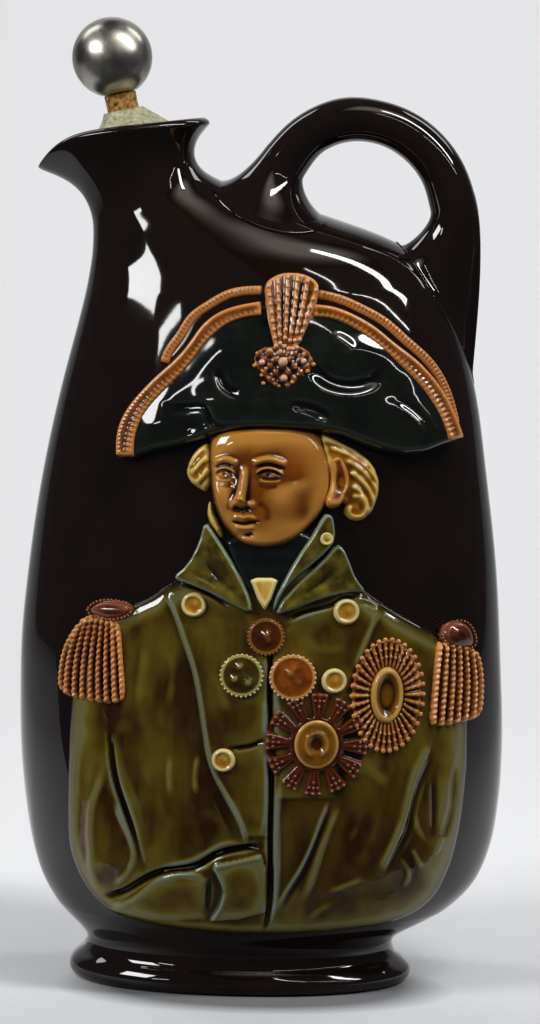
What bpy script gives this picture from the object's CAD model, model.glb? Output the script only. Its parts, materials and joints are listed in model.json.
# %% [markdown]
# This notebook dresses a stoneware spirit flask: a glossy brown bottle with an officer's bust in relief on
# its front, a silver mouth collar, and a cork stopper with a silver ball. The solids from CAD are loaded
# first and stay where they are. Every piece made here is laid on them, in metres, in the same frame.

# %% Load the frame
import json
import math

import bmesh
import bpy
import numpy as np
from mathutils import Matrix, Quaternion, Vector

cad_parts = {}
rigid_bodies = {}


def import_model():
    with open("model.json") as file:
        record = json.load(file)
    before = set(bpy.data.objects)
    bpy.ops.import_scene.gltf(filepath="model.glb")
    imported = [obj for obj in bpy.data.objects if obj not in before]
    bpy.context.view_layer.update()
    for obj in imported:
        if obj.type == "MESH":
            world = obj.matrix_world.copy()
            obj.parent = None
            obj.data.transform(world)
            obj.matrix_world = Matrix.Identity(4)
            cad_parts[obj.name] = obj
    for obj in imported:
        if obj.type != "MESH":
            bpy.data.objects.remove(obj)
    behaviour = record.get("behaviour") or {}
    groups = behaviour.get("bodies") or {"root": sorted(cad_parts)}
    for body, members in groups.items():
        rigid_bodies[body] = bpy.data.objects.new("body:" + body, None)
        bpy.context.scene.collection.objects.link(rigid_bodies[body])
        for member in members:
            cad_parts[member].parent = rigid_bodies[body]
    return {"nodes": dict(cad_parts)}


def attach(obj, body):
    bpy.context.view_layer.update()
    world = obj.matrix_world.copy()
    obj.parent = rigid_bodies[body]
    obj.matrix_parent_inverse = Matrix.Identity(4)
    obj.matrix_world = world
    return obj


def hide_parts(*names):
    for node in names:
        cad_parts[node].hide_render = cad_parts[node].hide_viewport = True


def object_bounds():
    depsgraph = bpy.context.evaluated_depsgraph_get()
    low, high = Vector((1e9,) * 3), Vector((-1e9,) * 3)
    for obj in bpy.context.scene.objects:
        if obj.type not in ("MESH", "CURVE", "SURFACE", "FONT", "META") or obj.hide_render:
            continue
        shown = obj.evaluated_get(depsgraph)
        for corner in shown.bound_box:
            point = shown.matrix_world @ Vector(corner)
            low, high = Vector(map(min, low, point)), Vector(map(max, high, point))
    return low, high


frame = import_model()
cad_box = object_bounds()
print("CAD nodes:", sorted(frame["nodes"]))
print("CAD box in mm:", [[round(v * 1000, 1) for v in corner] for corner in cad_box])

# %% [markdown]
# The camera comes first, because the relief is placed by where its lines are seen in the picture. The
# flask was seen from almost level with its rim, from about 0.9 m, a little turned on the camera's axis.
# All drawing below is in millimetres, and MM turns it into metres at the last moment. One pixel of the
# picture covers about PIXEL millimetres of the flask.

# %% Camera
MM = 0.001
BODY_Y = 1.8
PICTURE = (540, 1024)
PIXEL = 0.242
SENSOR, LENS = 36.0, 131.4
AIM_X, AIM_HEIGHT = 1.16, 113.7
CAMERA_AT = Vector((AIM_X, BODY_Y - 900.0, 206.2))
CAMERA_AIM = Vector((AIM_X, BODY_Y, AIM_HEIGHT))
CAMERA_ROLL = math.radians(1.2)

camera = bpy.data.objects.new("camera", bpy.data.cameras.new("camera"))
bpy.context.scene.collection.objects.link(camera)
camera.data.sensor_width = SENSOR
camera.data.lens = LENS
camera.location = CAMERA_AT * MM
camera.rotation_mode = "QUATERNION"
level_look = (CAMERA_AIM - CAMERA_AT).to_track_quat("-Z", "Y")
camera.rotation_quaternion = level_look @ Quaternion((0, 0, 1), CAMERA_ROLL)
bpy.context.scene.camera = camera
camera_axes = np.array(camera.rotation_quaternion.to_matrix())
pixels_per_unit = LENS / SENSOR * PICTURE[1]
print("camera", round((CAMERA_AIM - CAMERA_AT).length), "mm from the flask's middle")


# %% Where a point is seen in the picture
def seen_at(points):
    """Pixels of the picture where points, in millimetres, are seen."""
    local = (points - np.array(CAMERA_AT)) @ camera_axes
    across = PICTURE[0] / 2 + pixels_per_unit * local[..., 0] / -local[..., 2]
    down = PICTURE[1] / 2 - pixels_per_unit * local[..., 1] / -local[..., 2]
    return np.stack([across, down], axis=-1)


print("the flask's middle is seen at", seen_at(np.array([AIM_X, BODY_Y, AIM_HEIGHT])).round(1))

# %% [markdown]
# Small helpers for the whole notebook. Blender's operators act on everything that is selected, so each
# new piece starts from an empty selection. A colour that is written as hex is meant for the eye, and the
# renderer counts light, so one function turns it to linear numbers. The last ones start a material, add a
# node to it, and set its shader.

# %% Helpers for pieces and colours
def select_only(*things):
    """Selects these objects alone, and makes the first one active."""
    for thing in bpy.context.view_layer.objects:
        thing.select_set(False)
    for thing in things:
        thing.select_set(True)
    if things:
        bpy.context.view_layer.objects.active = things[0]


def settle(piece):
    """Moves the object's place, turn and size into its mesh, so the object sits at the origin."""
    select_only(piece)
    bpy.ops.object.transform_apply(location=True, rotation=True, scale=True)
    return piece


def apply_all(piece):
    """Applies every modifier of a piece."""
    select_only(piece)
    for modifier in list(piece.modifiers):
        bpy.ops.object.modifier_apply(modifier=modifier.name)


def points_of(piece):
    """The mesh's points in millimetres."""
    flat = np.empty(len(piece.data.vertices) * 3)
    piece.data.vertices.foreach_get("co", flat)
    return flat.reshape(-1, 3) / MM


def set_points(piece, points):
    """Moves the mesh's points to places in millimetres."""
    piece.data.vertices.foreach_set("co", (np.asarray(points) * MM).ravel())
    piece.data.update()


def pick_faces(piece, wanted):
    """Goes into edit mode with only those faces picked that pass a test."""
    bpy.ops.object.mode_set(mode="EDIT")
    bpy.ops.mesh.select_all(action="DESELECT")
    edit = bmesh.from_edit_mesh(piece.data)
    for face in edit.faces:
        face.select = wanted(face)
    bmesh.update_edit_mesh(piece.data)


def linear(hex_colour):
    """An sRGB hex colour as the linear colour that a shader works with."""
    parts = [int(hex_colour[i:i + 2], 16) / 255 for i in (1, 3, 5)]
    return tuple(p / 12.92 if p <= 0.04045 else ((p + 0.055) / 1.055) ** 2.4 for p in parts) + (1.0,)


def add_node(tree, kind, settings=None, links=None):
    """Adds one node with its settings, joined to the sockets that it reads."""
    made = tree.nodes.new(kind)
    for name, value in (settings or {}).items():
        if isinstance(name, int) or name in made.inputs:
            made.inputs[name].default_value = value
        else:
            setattr(made, name, value)
    for name, source in (links or {}).items():
        tree.links.new(source, made.inputs[name])
    return made


def new_material(name):
    """A new material, its node tree and its shader."""
    made = bpy.data.materials.new(name)
    made.use_nodes = True
    return made, made.node_tree, made.node_tree.nodes["Principled BSDF"]


def set_shader(shader, **sockets):
    """Sets or joins a shader's sockets by their names, with spaces written as underscores."""
    for name, value in sockets.items():
        socket = shader.inputs[name.replace("_", " ")]
        if isinstance(value, bpy.types.NodeSocket):
            shader.id_data.links.new(value, socket)
        else:
            socket.default_value = value


def colour_stops(ramp, stops):
    """Sets a colour ramp's stops from pairs of place and hex colour."""
    elements = ramp.color_ramp.elements
    while len(elements) < len(stops):
        elements.new(1.0)
    for element, (place, colour) in zip(elements, stops):
        element.position = place
        element.color = linear(colour)
    return ramp.outputs["Color"]


# %% [markdown]
# The stage is a plain pale sweep: a floor that curves up into a wall, so that no line crosses the
# picture behind the flask. It is one strip of faces, extruded along a profile and smoothed.

# %% Floor and backdrop
FLOOR_FRONT, FLOOR_BACK, WALL_TOP = -61.0, 520.0, 900.0
CURVE_RADIUS, CURVE_STEPS = 400, 12
select_only()
bpy.ops.mesh.primitive_plane_add(size=2.4, location=(0, 0, 0))
sweep = bpy.context.object
sweep.name = "studio_sweep"
bpy.ops.object.mode_set(mode="EDIT")
bpy.ops.mesh.select_all(action="DESELECT")
edit = bmesh.from_edit_mesh(sweep.data)
for vert in edit.verts:
    vert.co.y = (FLOOR_BACK if vert.co.y > 0 else FLOOR_FRONT) * MM
for edge in edit.edges:
    edge.select = all(vert.co.y > 0 for vert in edge.verts)
edit.select_flush(True)
bmesh.update_edit_mesh(sweep.data)
run = CURVE_RADIUS * MM * math.pi / (2 * CURVE_STEPS)
for step in range(CURVE_STEPS):
    turn = (step + 0.5) / CURVE_STEPS * math.pi / 2
    move = {"value": (0, run * math.cos(turn), run * math.sin(turn))}
    bpy.ops.mesh.extrude_region_move(TRANSFORM_OT_translate=move)
bpy.ops.mesh.extrude_region_move(TRANSFORM_OT_translate={"value": (0, 0, WALL_TOP * MM)})
bpy.ops.object.mode_set(mode="OBJECT")
bpy.ops.object.shade_smooth()
print("sweep faces:", len(sweep.data.polygons))

# %% [markdown]
# The backdrop is matt paper. It pales from front to back and darkens to the sides, as under a lamp that
# hangs over its middle, and a soft oval under the flask is the shade where the foot meets it.

# %% Studio paper
SHADE_MIDDLE, SHADE_HALF = (0.0, -0.013), (0.036, 0.021)
paper, tree, shader = new_material("matt_studio_paper")
place = add_node(tree, "ShaderNodeTexCoord").outputs["Object"]
axes = add_node(tree, "ShaderNodeSeparateXYZ", None, {"Vector": place})
backwards = add_node(tree, "ShaderNodeMapRange", {"From Min": -0.06, "From Max": 0.5},
    {"Value": axes.outputs["Y"]})
pale = add_node(tree, "ShaderNodeValToRGB", None, {"Fac": backwards.outputs["Result"]})
pale_colour = colour_stops(pale, ((0.0, "#d2d4d7"), (0.15, "#e4e6e9"), (0.3, "#f2f3f5"), (1.0, "#f6f6f8")))
sideways = add_node(tree, "ShaderNodeMath", {"operation": "ABSOLUTE"}, {0: axes.outputs["X"]})
dusk = add_node(tree, "ShaderNodeMapRange", {"From Min": 0.12, "From Max": 0.4, "To Max": 0.75},
    {"Value": sideways.outputs["Value"]})
dusky = add_node(tree, "ShaderNodeMix", {"data_type": "RGBA", 7: linear("#8b8d90")},
    {0: dusk.outputs["Result"], 6: pale_colour})
oval = {"Location": (-SHADE_MIDDLE[0] / SHADE_HALF[0], -SHADE_MIDDLE[1] / SHADE_HALF[1], 0.0),
    "Scale": (1 / SHADE_HALF[0], 1 / SHADE_HALF[1], 0.0)}
spot = add_node(tree, "ShaderNodeMapping", oval, {"Vector": place})
away = add_node(tree, "ShaderNodeVectorMath", {"operation": "LENGTH"}, {0: spot.outputs["Vector"]})
shade = add_node(tree, "ShaderNodeMapRange", {"From Min": 0.95, "From Max": 1.35, "To Min": 0.75,
    "To Max": 0.0}, {"Value": away.outputs["Value"]})
shaded = add_node(tree, "ShaderNodeMix", {"data_type": "RGBA", 7: linear("#2c2d30")},
    {0: shade.outputs["Result"], 6: dusky.outputs[2]})
set_shader(shader, Base_Color=shaded.outputs[2], Roughness=0.7, Specular_IOR_Level=0.25)
sweep.data.materials.append(paper)
print(paper.name, "nodes:", len(tree.nodes))

# %% [markdown]
# The camera sees only the foot of the wall. The rest is there for the glaze to mirror, and it would stand
# in the way of a look from behind, so it becomes an object of its own that camera rays pass through.

# %% The upper wall
WALL_SEEN = 345.0
pick_faces(sweep, lambda face: face.calc_center_median().z > WALL_SEEN * MM)
bpy.ops.mesh.separate(type="SELECTED")
bpy.ops.object.mode_set(mode="OBJECT")
upper_wall = next(o for o in bpy.context.selected_objects if o != sweep)
upper_wall.name = "studio_upper_wall"
upper_wall.visible_camera = False
print("upper wall faces:", len(upper_wall.data.polygons))

# %% [markdown]
# Glaze mirrors the table right in front of it, and the coat would look milky for it. A photographer lays a
# dark card there. This one fades out at its edge, and only mirrored rays meet it, so it hides nothing.

# %% Dark card in front
select_only()
bpy.ops.mesh.primitive_plane_add(size=2.0)
card = bpy.context.object
card.name = "dark_card"
card.matrix_world = Matrix.Translation((0.0, -0.048, 0.0004)) @ Matrix.Diagonal((0.085, 0.034, 1.0, 1.0))
card.visible_camera = card.visible_diffuse = card.visible_shadow = False
card_paint, tree, shader = new_material("dark_card")
place = add_node(tree, "ShaderNodeTexCoord").outputs["Object"]
fade = add_node(tree, "ShaderNodeTexGradient", {"gradient_type": "SPHERICAL"}, {"Vector": place})
cover = add_node(tree, "ShaderNodeMapRange", {"From Max": 0.4, "To Max": 0.9}, {"Value": fade.outputs["Fac"]})
set_shader(shader, Base_Color=linear("#1c1d1f"), Alpha=cover.outputs["Result"])
card.data.materials.append(card_paint)
print(card.name, "nodes of its material:", len(tree.nodes))

# %% [markdown]
# The glaze is so dark that it shows mostly what it mirrors. In the picture one soft window of light stands
# to the left, and two long strips hang to the right, one high and one lower. They are area lamps at those
# places, given as directions seen from the flask: degrees round from the camera, and up. The world is a
# dim room, and two more lamps light the paper behind, which gives the flask's edges their pale rim.

# %% Lamps and room
LIT_POINT = Vector((0, 0, 150))
LAMP_REACH, CEILING_REACH = 900, 1000


def towards(turn, rise, distance=LAMP_REACH):
    """A point seen from the flask at degrees round from the camera, right being positive, and up."""
    turn, rise = math.radians(turn), math.radians(rise)
    across = math.cos(rise) * distance
    return LIT_POINT + Vector((across * math.sin(turn), -across * math.cos(turn), math.sin(rise) * distance))


def hung(left_end, right_end, aim=LIT_POINT, half_width=1.0, half_height=1.0):
    """Where a flat thing hangs that reaches from one end to the other and faces the aim, as a matrix."""
    along, middle = right_end - left_end, (left_end + right_end) / 2
    back = (middle - aim).normalized()
    side = (along - back * along.dot(back)).normalized()
    facing = Matrix((side * half_width, back.cross(side) * half_height, back)).transposed().to_4x4()
    return Matrix.Translation(middle * MM) @ facing


def hang_lamp(name, left_end, right_end, height, brightness, aim=LIT_POINT):
    """An area lamp from one end to the other, this high, with a brightness that its size doesn't change."""
    width = (right_end - left_end).length
    lamp = bpy.data.objects.new(name, bpy.data.lights.new(name, "AREA"))
    bpy.context.scene.collection.objects.link(lamp)
    lamp.data.shape = "RECTANGLE"
    lamp.data.size = width * MM
    lamp.data.size_y = height * MM
    lamp.data.energy = brightness * width * height * MM * MM
    lamp.matrix_world = hung(left_end, right_end, aim)


for name, left_end, right_end, height, brightness in (
        ("left_window", (-66, 28), (-43, 28), 250, 60), ("left_slit", (-39, 17.5), (-30, 22), 35, 60),
        ("upper_strip", (32, 63), (70, 30), 72, 100), ("lower_strip_near", (15, 44.5), (31, 35.5), 6, 130),
        ("lower_strip_far", (33, 34.5), (62, 23.5), 6, 130)):
    hang_lamp(name, towards(*left_end), towards(*right_end), height, brightness)
for name, side in (("left_wall_lamp", -1), ("right_wall_lamp", 1)):
    hang_lamp(name, Vector((side * 700 - 300, 420, 1000)), Vector((side * 700 + 300, 420, 1000)), 300, 17,
        Vector((side * 200, 900, 300)))
room = bpy.data.worlds.new("dim_room")
room.use_nodes = True
room.node_tree.nodes["Background"].inputs["Color"].default_value = linear("#6f7175")
room.node_tree.nodes["Background"].inputs["Strength"].default_value = 0.3
bpy.context.scene.world = room
bpy.context.scene.view_settings.view_transform = "Standard"
print("lamps:", len(bpy.data.lights))

# %% [markdown]
# Over the flask, the ceiling glows faintly from the light that falls on it. A lamp would mirror as a patch
# with hard edges, so this is a plane with a weak glow that fades out from its middle.

# %% Glow of the ceiling
select_only()
bpy.ops.mesh.primitive_plane_add(size=2.0)
ceiling = bpy.context.object
ceiling.name = "ceiling_glow"
ceiling.matrix_world = hung(towards(-6, 51, CEILING_REACH), towards(74, 60, CEILING_REACH),
    half_width=0.5, half_height=0.24)
glow, tree, shader = new_material("ceiling_glow")
place = add_node(tree, "ShaderNodeTexCoord").outputs["Object"]
tree.nodes.remove(shader)
fade = add_node(tree, "ShaderNodeTexGradient", {"gradient_type": "QUADRATIC_SPHERE"}, {"Vector": place})
strength = add_node(tree, "ShaderNodeMapRange", {"From Max": 0.4, "To Max": 1.8},
    {"Value": fade.outputs["Fac"]})
light = add_node(tree, "ShaderNodeEmission", {"Color": linear("#fff4ec")},
    {"Strength": strength.outputs["Result"]})
tree.links.new(light.outputs["Emission"], tree.nodes["Material Output"].inputs["Surface"])
ceiling.data.materials.append(glow)
print(ceiling.name, "nodes of its material:", len(tree.nodes))

# %% [markdown]
# The flask's body was slip cast in a mould, so it has no axis to turn it on: every level is its own
# rounded oval, and the upper ones lean over into the spout. It is drawn as stations, from the foot to the
# rim, each with its left and right ends, its half depth and how far the lip sags. The same numbers drive
# the CAD solid. A smooth curve through them gives as many levels as the mesh needs.

# %% Stations of the body
STATIONS = np.array((
    (-43.4, 0.0, 35.6, 0.0, 24.4, 0.0), (-45.2, 0.9, 37.4, 0.9, 26.1, 0.0),
    (-45.6, 2.6, 37.9, 2.6, 26.5, 0.0), (-44.7, 4.6, 36.4, 4.6, 25.7, 0.0),
    (-42.3, 6.8, 33.9, 6.8, 24.3, 0.0), (-41.4, 9.2, 33.2, 9.4, 23.9, 0.0),
    (-43.0, 12.0, 35.4, 12.2, 25.0, 0.0), (-46.1, 15.0, 41.4, 15.2, 27.4, 0.0),
    (-50.2, 20.0, 48.9, 20.0, 30.6, 0.0), (-54.4, 30.0, 55.4, 30.0, 34.3, 0.0),
    (-57.0, 44.0, 58.2, 44.0, 36.4, 0.0), (-58.4, 60.0, 58.8, 60.0, 37.0, 0.0),
    (-58.6, 78.0, 57.9, 78.0, 36.3, 0.0), (-57.0, 100.0, 56.4, 100.0, 34.2, 0.0),
    (-53.7, 124.0, 53.3, 124.0, 31.0, 0.0), (-49.4, 145.0, 49.9, 145.0, 27.8, 0.0),
    (-46.4, 157.0, 46.6, 157.0, 25.6, 0.0), (-44.5, 165.0, 42.3, 167.0, 23.6, 0.0),
    (-43.4, 171.0, 33.5, 177.6, 20.6, 0.0), (-42.8, 176.0, 13.0, 185.6, 17.2, 0.0),
    (-42.7, 180.5, -7.5, 191.6, 14.2, 0.0), (-43.2, 185.0, -18.0, 196.6, 12.4, 0.05),
    (-45.5, 189.9, -19.0, 200.6, 12.3, 0.25), (-50.4, 193.3, -17.3, 204.3, 13.6, 0.45),
    (-55.6, 195.2, -15.5, 206.4, 14.9, 0.57)))
WAIST_STATION, SHOULDER_STATION, LAST_INNER_STATION = 5, 17, 20
SQUARENESS = 2.2
LIP_SHARPNESS = 9.0
TABLE_STEP = 0.25
SMOOTHING, BELL_STEPS = 2.4, 40


def curve_through(knots, values, places):
    """A smooth curve through the knots that never swings past them, read at the places asked for."""
    step = np.diff(knots)
    slope = np.diff(values) / step
    tangent = np.concatenate([[slope[0]], np.zeros(len(knots) - 2), [slope[-1]]])
    for i in range(1, len(knots) - 1):
        if slope[i - 1] * slope[i] > 0:
            middle = (slope[i - 1] * step[i] + slope[i] * step[i - 1]) / (step[i] + step[i - 1])
            limit = 3 * min(abs(slope[i - 1]), abs(slope[i]))
            tangent[i] = np.clip(middle, -limit, limit)
    at = np.clip(np.searchsorted(knots, places) - 1, 0, len(step) - 1)
    t = (places - knots[at]) / step[at]
    before = (2 * t**3 - 3 * t**2 + 1) * values[at] + (t**3 - 2 * t**2 + t) * step[at] * tangent[at]
    after = (3 * t**2 - 2 * t**3) * values[at + 1] + (t**3 - t**2) * step[at] * tangent[at + 1]
    return before + after


def eased(share):
    """0 to 1 with a soft start and end."""
    share = np.clip(share, 0, 1)
    return share * share * (3 - 2 * share)


middles = (STATIONS[:, 0:2] + STATIONS[:, 2:4]) / 2
station_travel = np.concatenate([[0.0],
    np.cumsum(np.hypot(*np.diff(middles, axis=0).T) + np.abs(np.diff(STATIONS[:, 4])))])
travel = np.arange(0.0, station_travel[-1] + TABLE_STEP / 2, TABLE_STEP)
levels = np.stack([curve_through(station_travel, column, travel) for column in STATIONS.T], axis=1)
bell = np.exp(-0.5 * (np.arange(-BELL_STEPS, BELL_STEPS + 1) * TABLE_STEP / SMOOTHING) ** 2)
bell /= bell.sum()
ends = [levels[0] + (levels[1] - levels[0]) * k for k in range(-BELL_STEPS, 0)]
tops = [levels[-1] + (levels[-1] - levels[-2]) * k for k in range(1, BELL_STEPS + 1)]
padded = np.concatenate([ends, levels, tops])
softened = np.stack([np.convolve(column, bell, "valid") for column in padded.T], axis=1)
belly_share = eased((travel - station_travel[WAIST_STATION] - 1.0) / 6.0)[:, None]
levels = levels * (1 - belly_share) + softened * belly_share
print("body levels:", len(levels), "over", round(travel[-1]), "mm of travel")

# %% [markdown]
# From the levels come two things: the rings of points that the body is built from, and a function that
# says where the front of the body is at any x and z. Everything in relief stands on that function, so it
# fits the body wherever it is seen from. A third function goes back from a spot in the picture to the
# place on the body that is seen there, by stepping until the two agree.

# %% Rings, the front of the body and spots of the picture
HALVINGS, SEARCH_ROUNDS, SEARCH_SHARE = 20, 14, 0.8
FARTHEST_X = 56


def ring_of(level, angles):
    """Points round one level: a rounded oval that leans with the neck and sags at the lip."""
    left_x, left_z, right_x, right_z, depth, sag = level
    across = np.sign(np.cos(angles)) * np.abs(np.cos(angles)) ** (2 / SQUARENESS)
    out = np.sign(np.sin(angles)) * np.abs(np.sin(angles)) ** (2 / SQUARENESS)
    x = (left_x + right_x) / 2 + (right_x - left_x) / 2 * across
    share = (1 - across) / 2
    z = right_z - (right_z - left_z) * ((1 - sag) * share + sag * share**LIP_SHARPNESS)
    pinch = 1 - 0.45 * sag * np.clip(2 * share - 1, 0, 1)
    return np.stack([x, BODY_Y - depth * out * pinch, z], axis=1)


def front_of_body(x, z):
    """Points of the plain body's front at these x and z, in millimetres."""
    low, high = np.zeros(np.shape(x)), np.full(np.shape(x), travel[-1])
    for _ in range(HALVINGS):
        middle = (low + high) / 2
        left_x, left_z, right_x, right_z = (np.interp(middle, travel, levels[:, k]) for k in range(4))
        over = left_z + (right_z - left_z) * (x - left_x) / (right_x - left_x) > z
        high = np.where(over, middle, high)
        low = np.where(over, low, middle)
    left_x, _, right_x, _, depth, _ = (np.interp(middle, travel, levels[:, k]) for k in range(6))
    share = np.clip(np.abs(x - (left_x + right_x) / 2) / ((right_x - left_x) / 2), 0, 0.999)
    y = BODY_Y - depth * (1 - share**SQUARENESS) ** (1 / SQUARENESS)
    return np.stack([x, y, z], axis=-1)


def out_of_front(x, z):
    """Outward directions of the plain body's front at these x and z."""
    step = 0.4
    along_x = front_of_body(x + step, z) - front_of_body(x - step, z)
    along_z = front_of_body(x, z + step) - front_of_body(x, z - step)
    out = np.cross(along_x, along_z)
    return out / np.linalg.norm(out, axis=-1, keepdims=True)


def on_body(spots, height=2.0):
    """Where on the body (x, z) the picture's spots lie, on a relief of this height."""
    spots = np.asarray(spots, float)
    x = (spots[..., 0] - PICTURE[0] / 2) * PIXEL
    z = AIM_HEIGHT - (spots[..., 1] - PICTURE[1] / 2) * PIXEL
    for _ in range(SEARCH_ROUNDS):
        miss = spots - seen_at(front_of_body(x, z) + height * out_of_front(x, z))
        x = np.clip(x + SEARCH_SHARE * PIXEL * miss[..., 0], -FARTHEST_X, FARTHEST_X)
        z = z - SEARCH_SHARE * PIXEL * miss[..., 1]
    return np.stack([x, z], axis=-1)


picture_middle = (PICTURE[0] / 2, PICTURE[1] / 2)
print("a spot in the middle of the picture lies at", on_body([picture_middle]).round(1)[0], "mm")

# %% [markdown]
# The body could be lofted as a dense net, but a coarse cage under a Subdivision Surface gives highlights
# without a kink. As by hand, one circle of points is extruded once for each ring. A subdivided surface
# draws in a little from its cage, so the cage is first pushed out until the surface meets the drawing.

# %% Extruding a stack of rings
def extruded_rings(name, rings):
    """A closed form: a circle of points, extruded once for every ring, each then moved to its place."""
    columns = len(rings[0])
    select_only()
    bpy.ops.mesh.primitive_circle_add(vertices=columns, radius=1.0, fill_type="NGON")
    piece = bpy.context.object
    piece.name = piece.data.name = name
    bpy.ops.object.mode_set(mode="EDIT")
    bpy.ops.mesh.select_all(action="SELECT")
    for _ in rings[1:]:
        bpy.ops.mesh.extrude_region_move(TRANSFORM_OT_translate={"value": (0, 0, 1.0)})
    bpy.ops.object.mode_set(mode="OBJECT")
    drawn = points_of(piece) * MM
    ring_number = np.clip(np.round(drawn[:, 2]).astype(int), 0, len(rings) - 1)
    turn = np.arctan2(drawn[:, 1], drawn[:, 0])
    column = np.round(turn / (2 * math.pi) * columns).astype(int) % columns
    set_points(piece, np.asarray(rings)[ring_number, column])
    return piece


def pushed_out(rings, rounds=3):
    """Rings of a cage whose subdivided surface passes through the rings given."""
    rings = np.asarray(rings, float)
    cage = rings.copy()
    for _ in range(rounds):
        beside = np.roll(cage, 1, axis=1) + np.roll(cage, -1, axis=1) + 4 * cage
        surface = cage.copy()
        surface[1:-1] = (beside[:-2] + beside[2:] + 4 * beside[1:-1]) / 36
        cage += rings - surface
    return cage


def right_way_out(piece):
    """Turns all faces outwards."""
    select_only(piece)
    bpy.ops.object.mode_set(mode="EDIT")
    bpy.ops.mesh.select_all(action="SELECT")
    bpy.ops.mesh.normals_make_consistent(inside=False)
    bpy.ops.object.mode_set(mode="OBJECT")


def subdivided(piece, times):
    """Subdivides a cage into its smooth surface."""
    smooth = piece.modifiers.new("smooth", "SUBSURF")
    smooth.levels = smooth.render_levels = times
    apply_all(piece)
    bpy.ops.object.shade_smooth()
    print(piece.name, "faces:", len(piece.data.polygons))
    return piece


# %% [markdown]
# The rings go from the middle of the underside outwards over the foot ring, up the outside to the rim,
# over the rim into the bore that takes the collar, and down the inside to the floor of the hollow. So the
# flask is one closed skin with true walls, as a cast one is.

# %% Body
BODY_COLUMNS = 48
WALL, RIM = 4.2, 2.6
FOOT_RECESS, UNDERSIDE_INSETS = 2.4, (22.0, 16.0, 9.5, 8.2)
FOOT_PROFILE = ((7.2, 2.0), (6.3, 0.5), (5.6, 0.0), (3.0, 0.0), (0.5, 0.0))
RIM_PROFILE = ((-0.10, 0.32), (0.12, 0.62), (0.55, 0.74), (0.95, 0.42))
INNER_FLOOR = ((3.5, 7.9), (9.0, 7.2), (16.0, 7.2))
MOUTH = (-33.1, 205.4)
MOUTH_TILT = math.radians(7.5)
SEAT_RADIUS, BORE_RADIUS = 10.6, 8.6
SEAT_PROFILE = (
    (SEAT_RADIUS + 0.3, -1.35), (SEAT_RADIUS - 0.1, -1.5), (BORE_RADIUS + 0.2, -1.55),
    (BORE_RADIUS, -1.9), (BORE_RADIUS, -5.0), (BORE_RADIUS, -9.0))


def levels_at(places):
    """The body's levels at distances along it from the foot."""
    return np.stack([np.interp(places, travel, column) for column in levels.T], axis=1)


def inset(level, by, z=None):
    """A level drawn in by a distance, and set at a height if one is given."""
    left_x, left_z, right_x, right_z, depth, sag = level
    heights = (left_z, right_z) if z is None else (z, z)
    return (left_x + by, heights[0], right_x - by, heights[1], depth - by, sag)


def tilted_ring(centre_x, centre_z, radius, tilt, angles):
    """Points round a level or leaning circle."""
    x = centre_x + radius * np.cos(angles) * math.cos(tilt)
    z = centre_z + radius * np.cos(angles) * math.sin(tilt)
    return np.stack([x, BODY_Y - radius * np.sin(angles), z], axis=1)


def up_axis(start, tilt, distance):
    """A point on an axis that leans to the left by the tilt."""
    return start[0] - distance * math.sin(tilt), start[1] + distance * math.cos(tilt)


body_angles = -np.arange(BODY_COLUMNS) * 2 * math.pi / BODY_COLUMNS
waist = station_travel[WAIST_STATION]
shoulder = station_travel[SHOULDER_STATION]
outside = np.concatenate([np.linspace(0.3, waist, 9)[:-1], np.linspace(waist, waist + 16, 8)[:-1],
    np.linspace(waist + 16, shoulder, 24)[:-1], np.linspace(shoulder, travel[-1], 22)])
foot_level, waist_level, rim_level = levels_at([0.0, waist, travel[-1]])
ring_levels = [inset(foot_level, by, FOOT_RECESS) for by in UNDERSIDE_INSETS]
ring_levels += [inset(foot_level, by, z) for by, z in FOOT_PROFILE]
ring_levels += list(levels_at(outside))
for by, rise in RIM_PROFILE:
    level = list(inset(rim_level, by * RIM))
    level[1] += rise * RIM
    level[3] += rise * RIM
    ring_levels.append(tuple(level))
body_rings = [ring_of(level, body_angles) for level in ring_levels]
for radius, drop in SEAT_PROFILE:
    body_rings.append(tilted_ring(*up_axis(MOUTH, MOUTH_TILT, drop), radius, MOUTH_TILT, body_angles))
inner_places = np.linspace(station_travel[LAST_INNER_STATION], waist + 3, 15)
for level in levels_at(inner_places):
    body_rings.append(ring_of(inset(level, WALL), body_angles))
for by, z in INNER_FLOOR:
    body_rings.append(ring_of(inset(waist_level, WALL + by, z), body_angles))
body_cage = pushed_out(body_rings)
body_cage[:, :, 2] = np.maximum(body_cage[:, :, 2], 0.0)
flask_body = subdivided(extruded_rings("flask_body", body_cage), 2)
box_low, box_high = (np.array(corner) / MM for corner in cad_box)
smooth_points = points_of(flask_body)
boxed_points = np.clip(smooth_points, box_low, box_high)
set_points(flask_body, boxed_points)
pressed = float(np.abs(boxed_points - smooth_points).max())
print("the smooth body is pressed into the CAD box by", round(pressed, 3), "mm")
right_way_out(flask_body)
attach(flask_body, "root")
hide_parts("flask")

# %% [markdown]
# The handle was pulled as a round strap and joined to the shoulder while both were soft, so its root spreads
# like a trumpet until it lies on the shoulder, and its tail is wiped down the side and fades out. A tube
# stuck into the body would show a hard seam. So the tube is a stack of rings along a smooth line, and at
# each end every one of its lengthwise lines bends over until it runs along the body's own surface.

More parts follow.
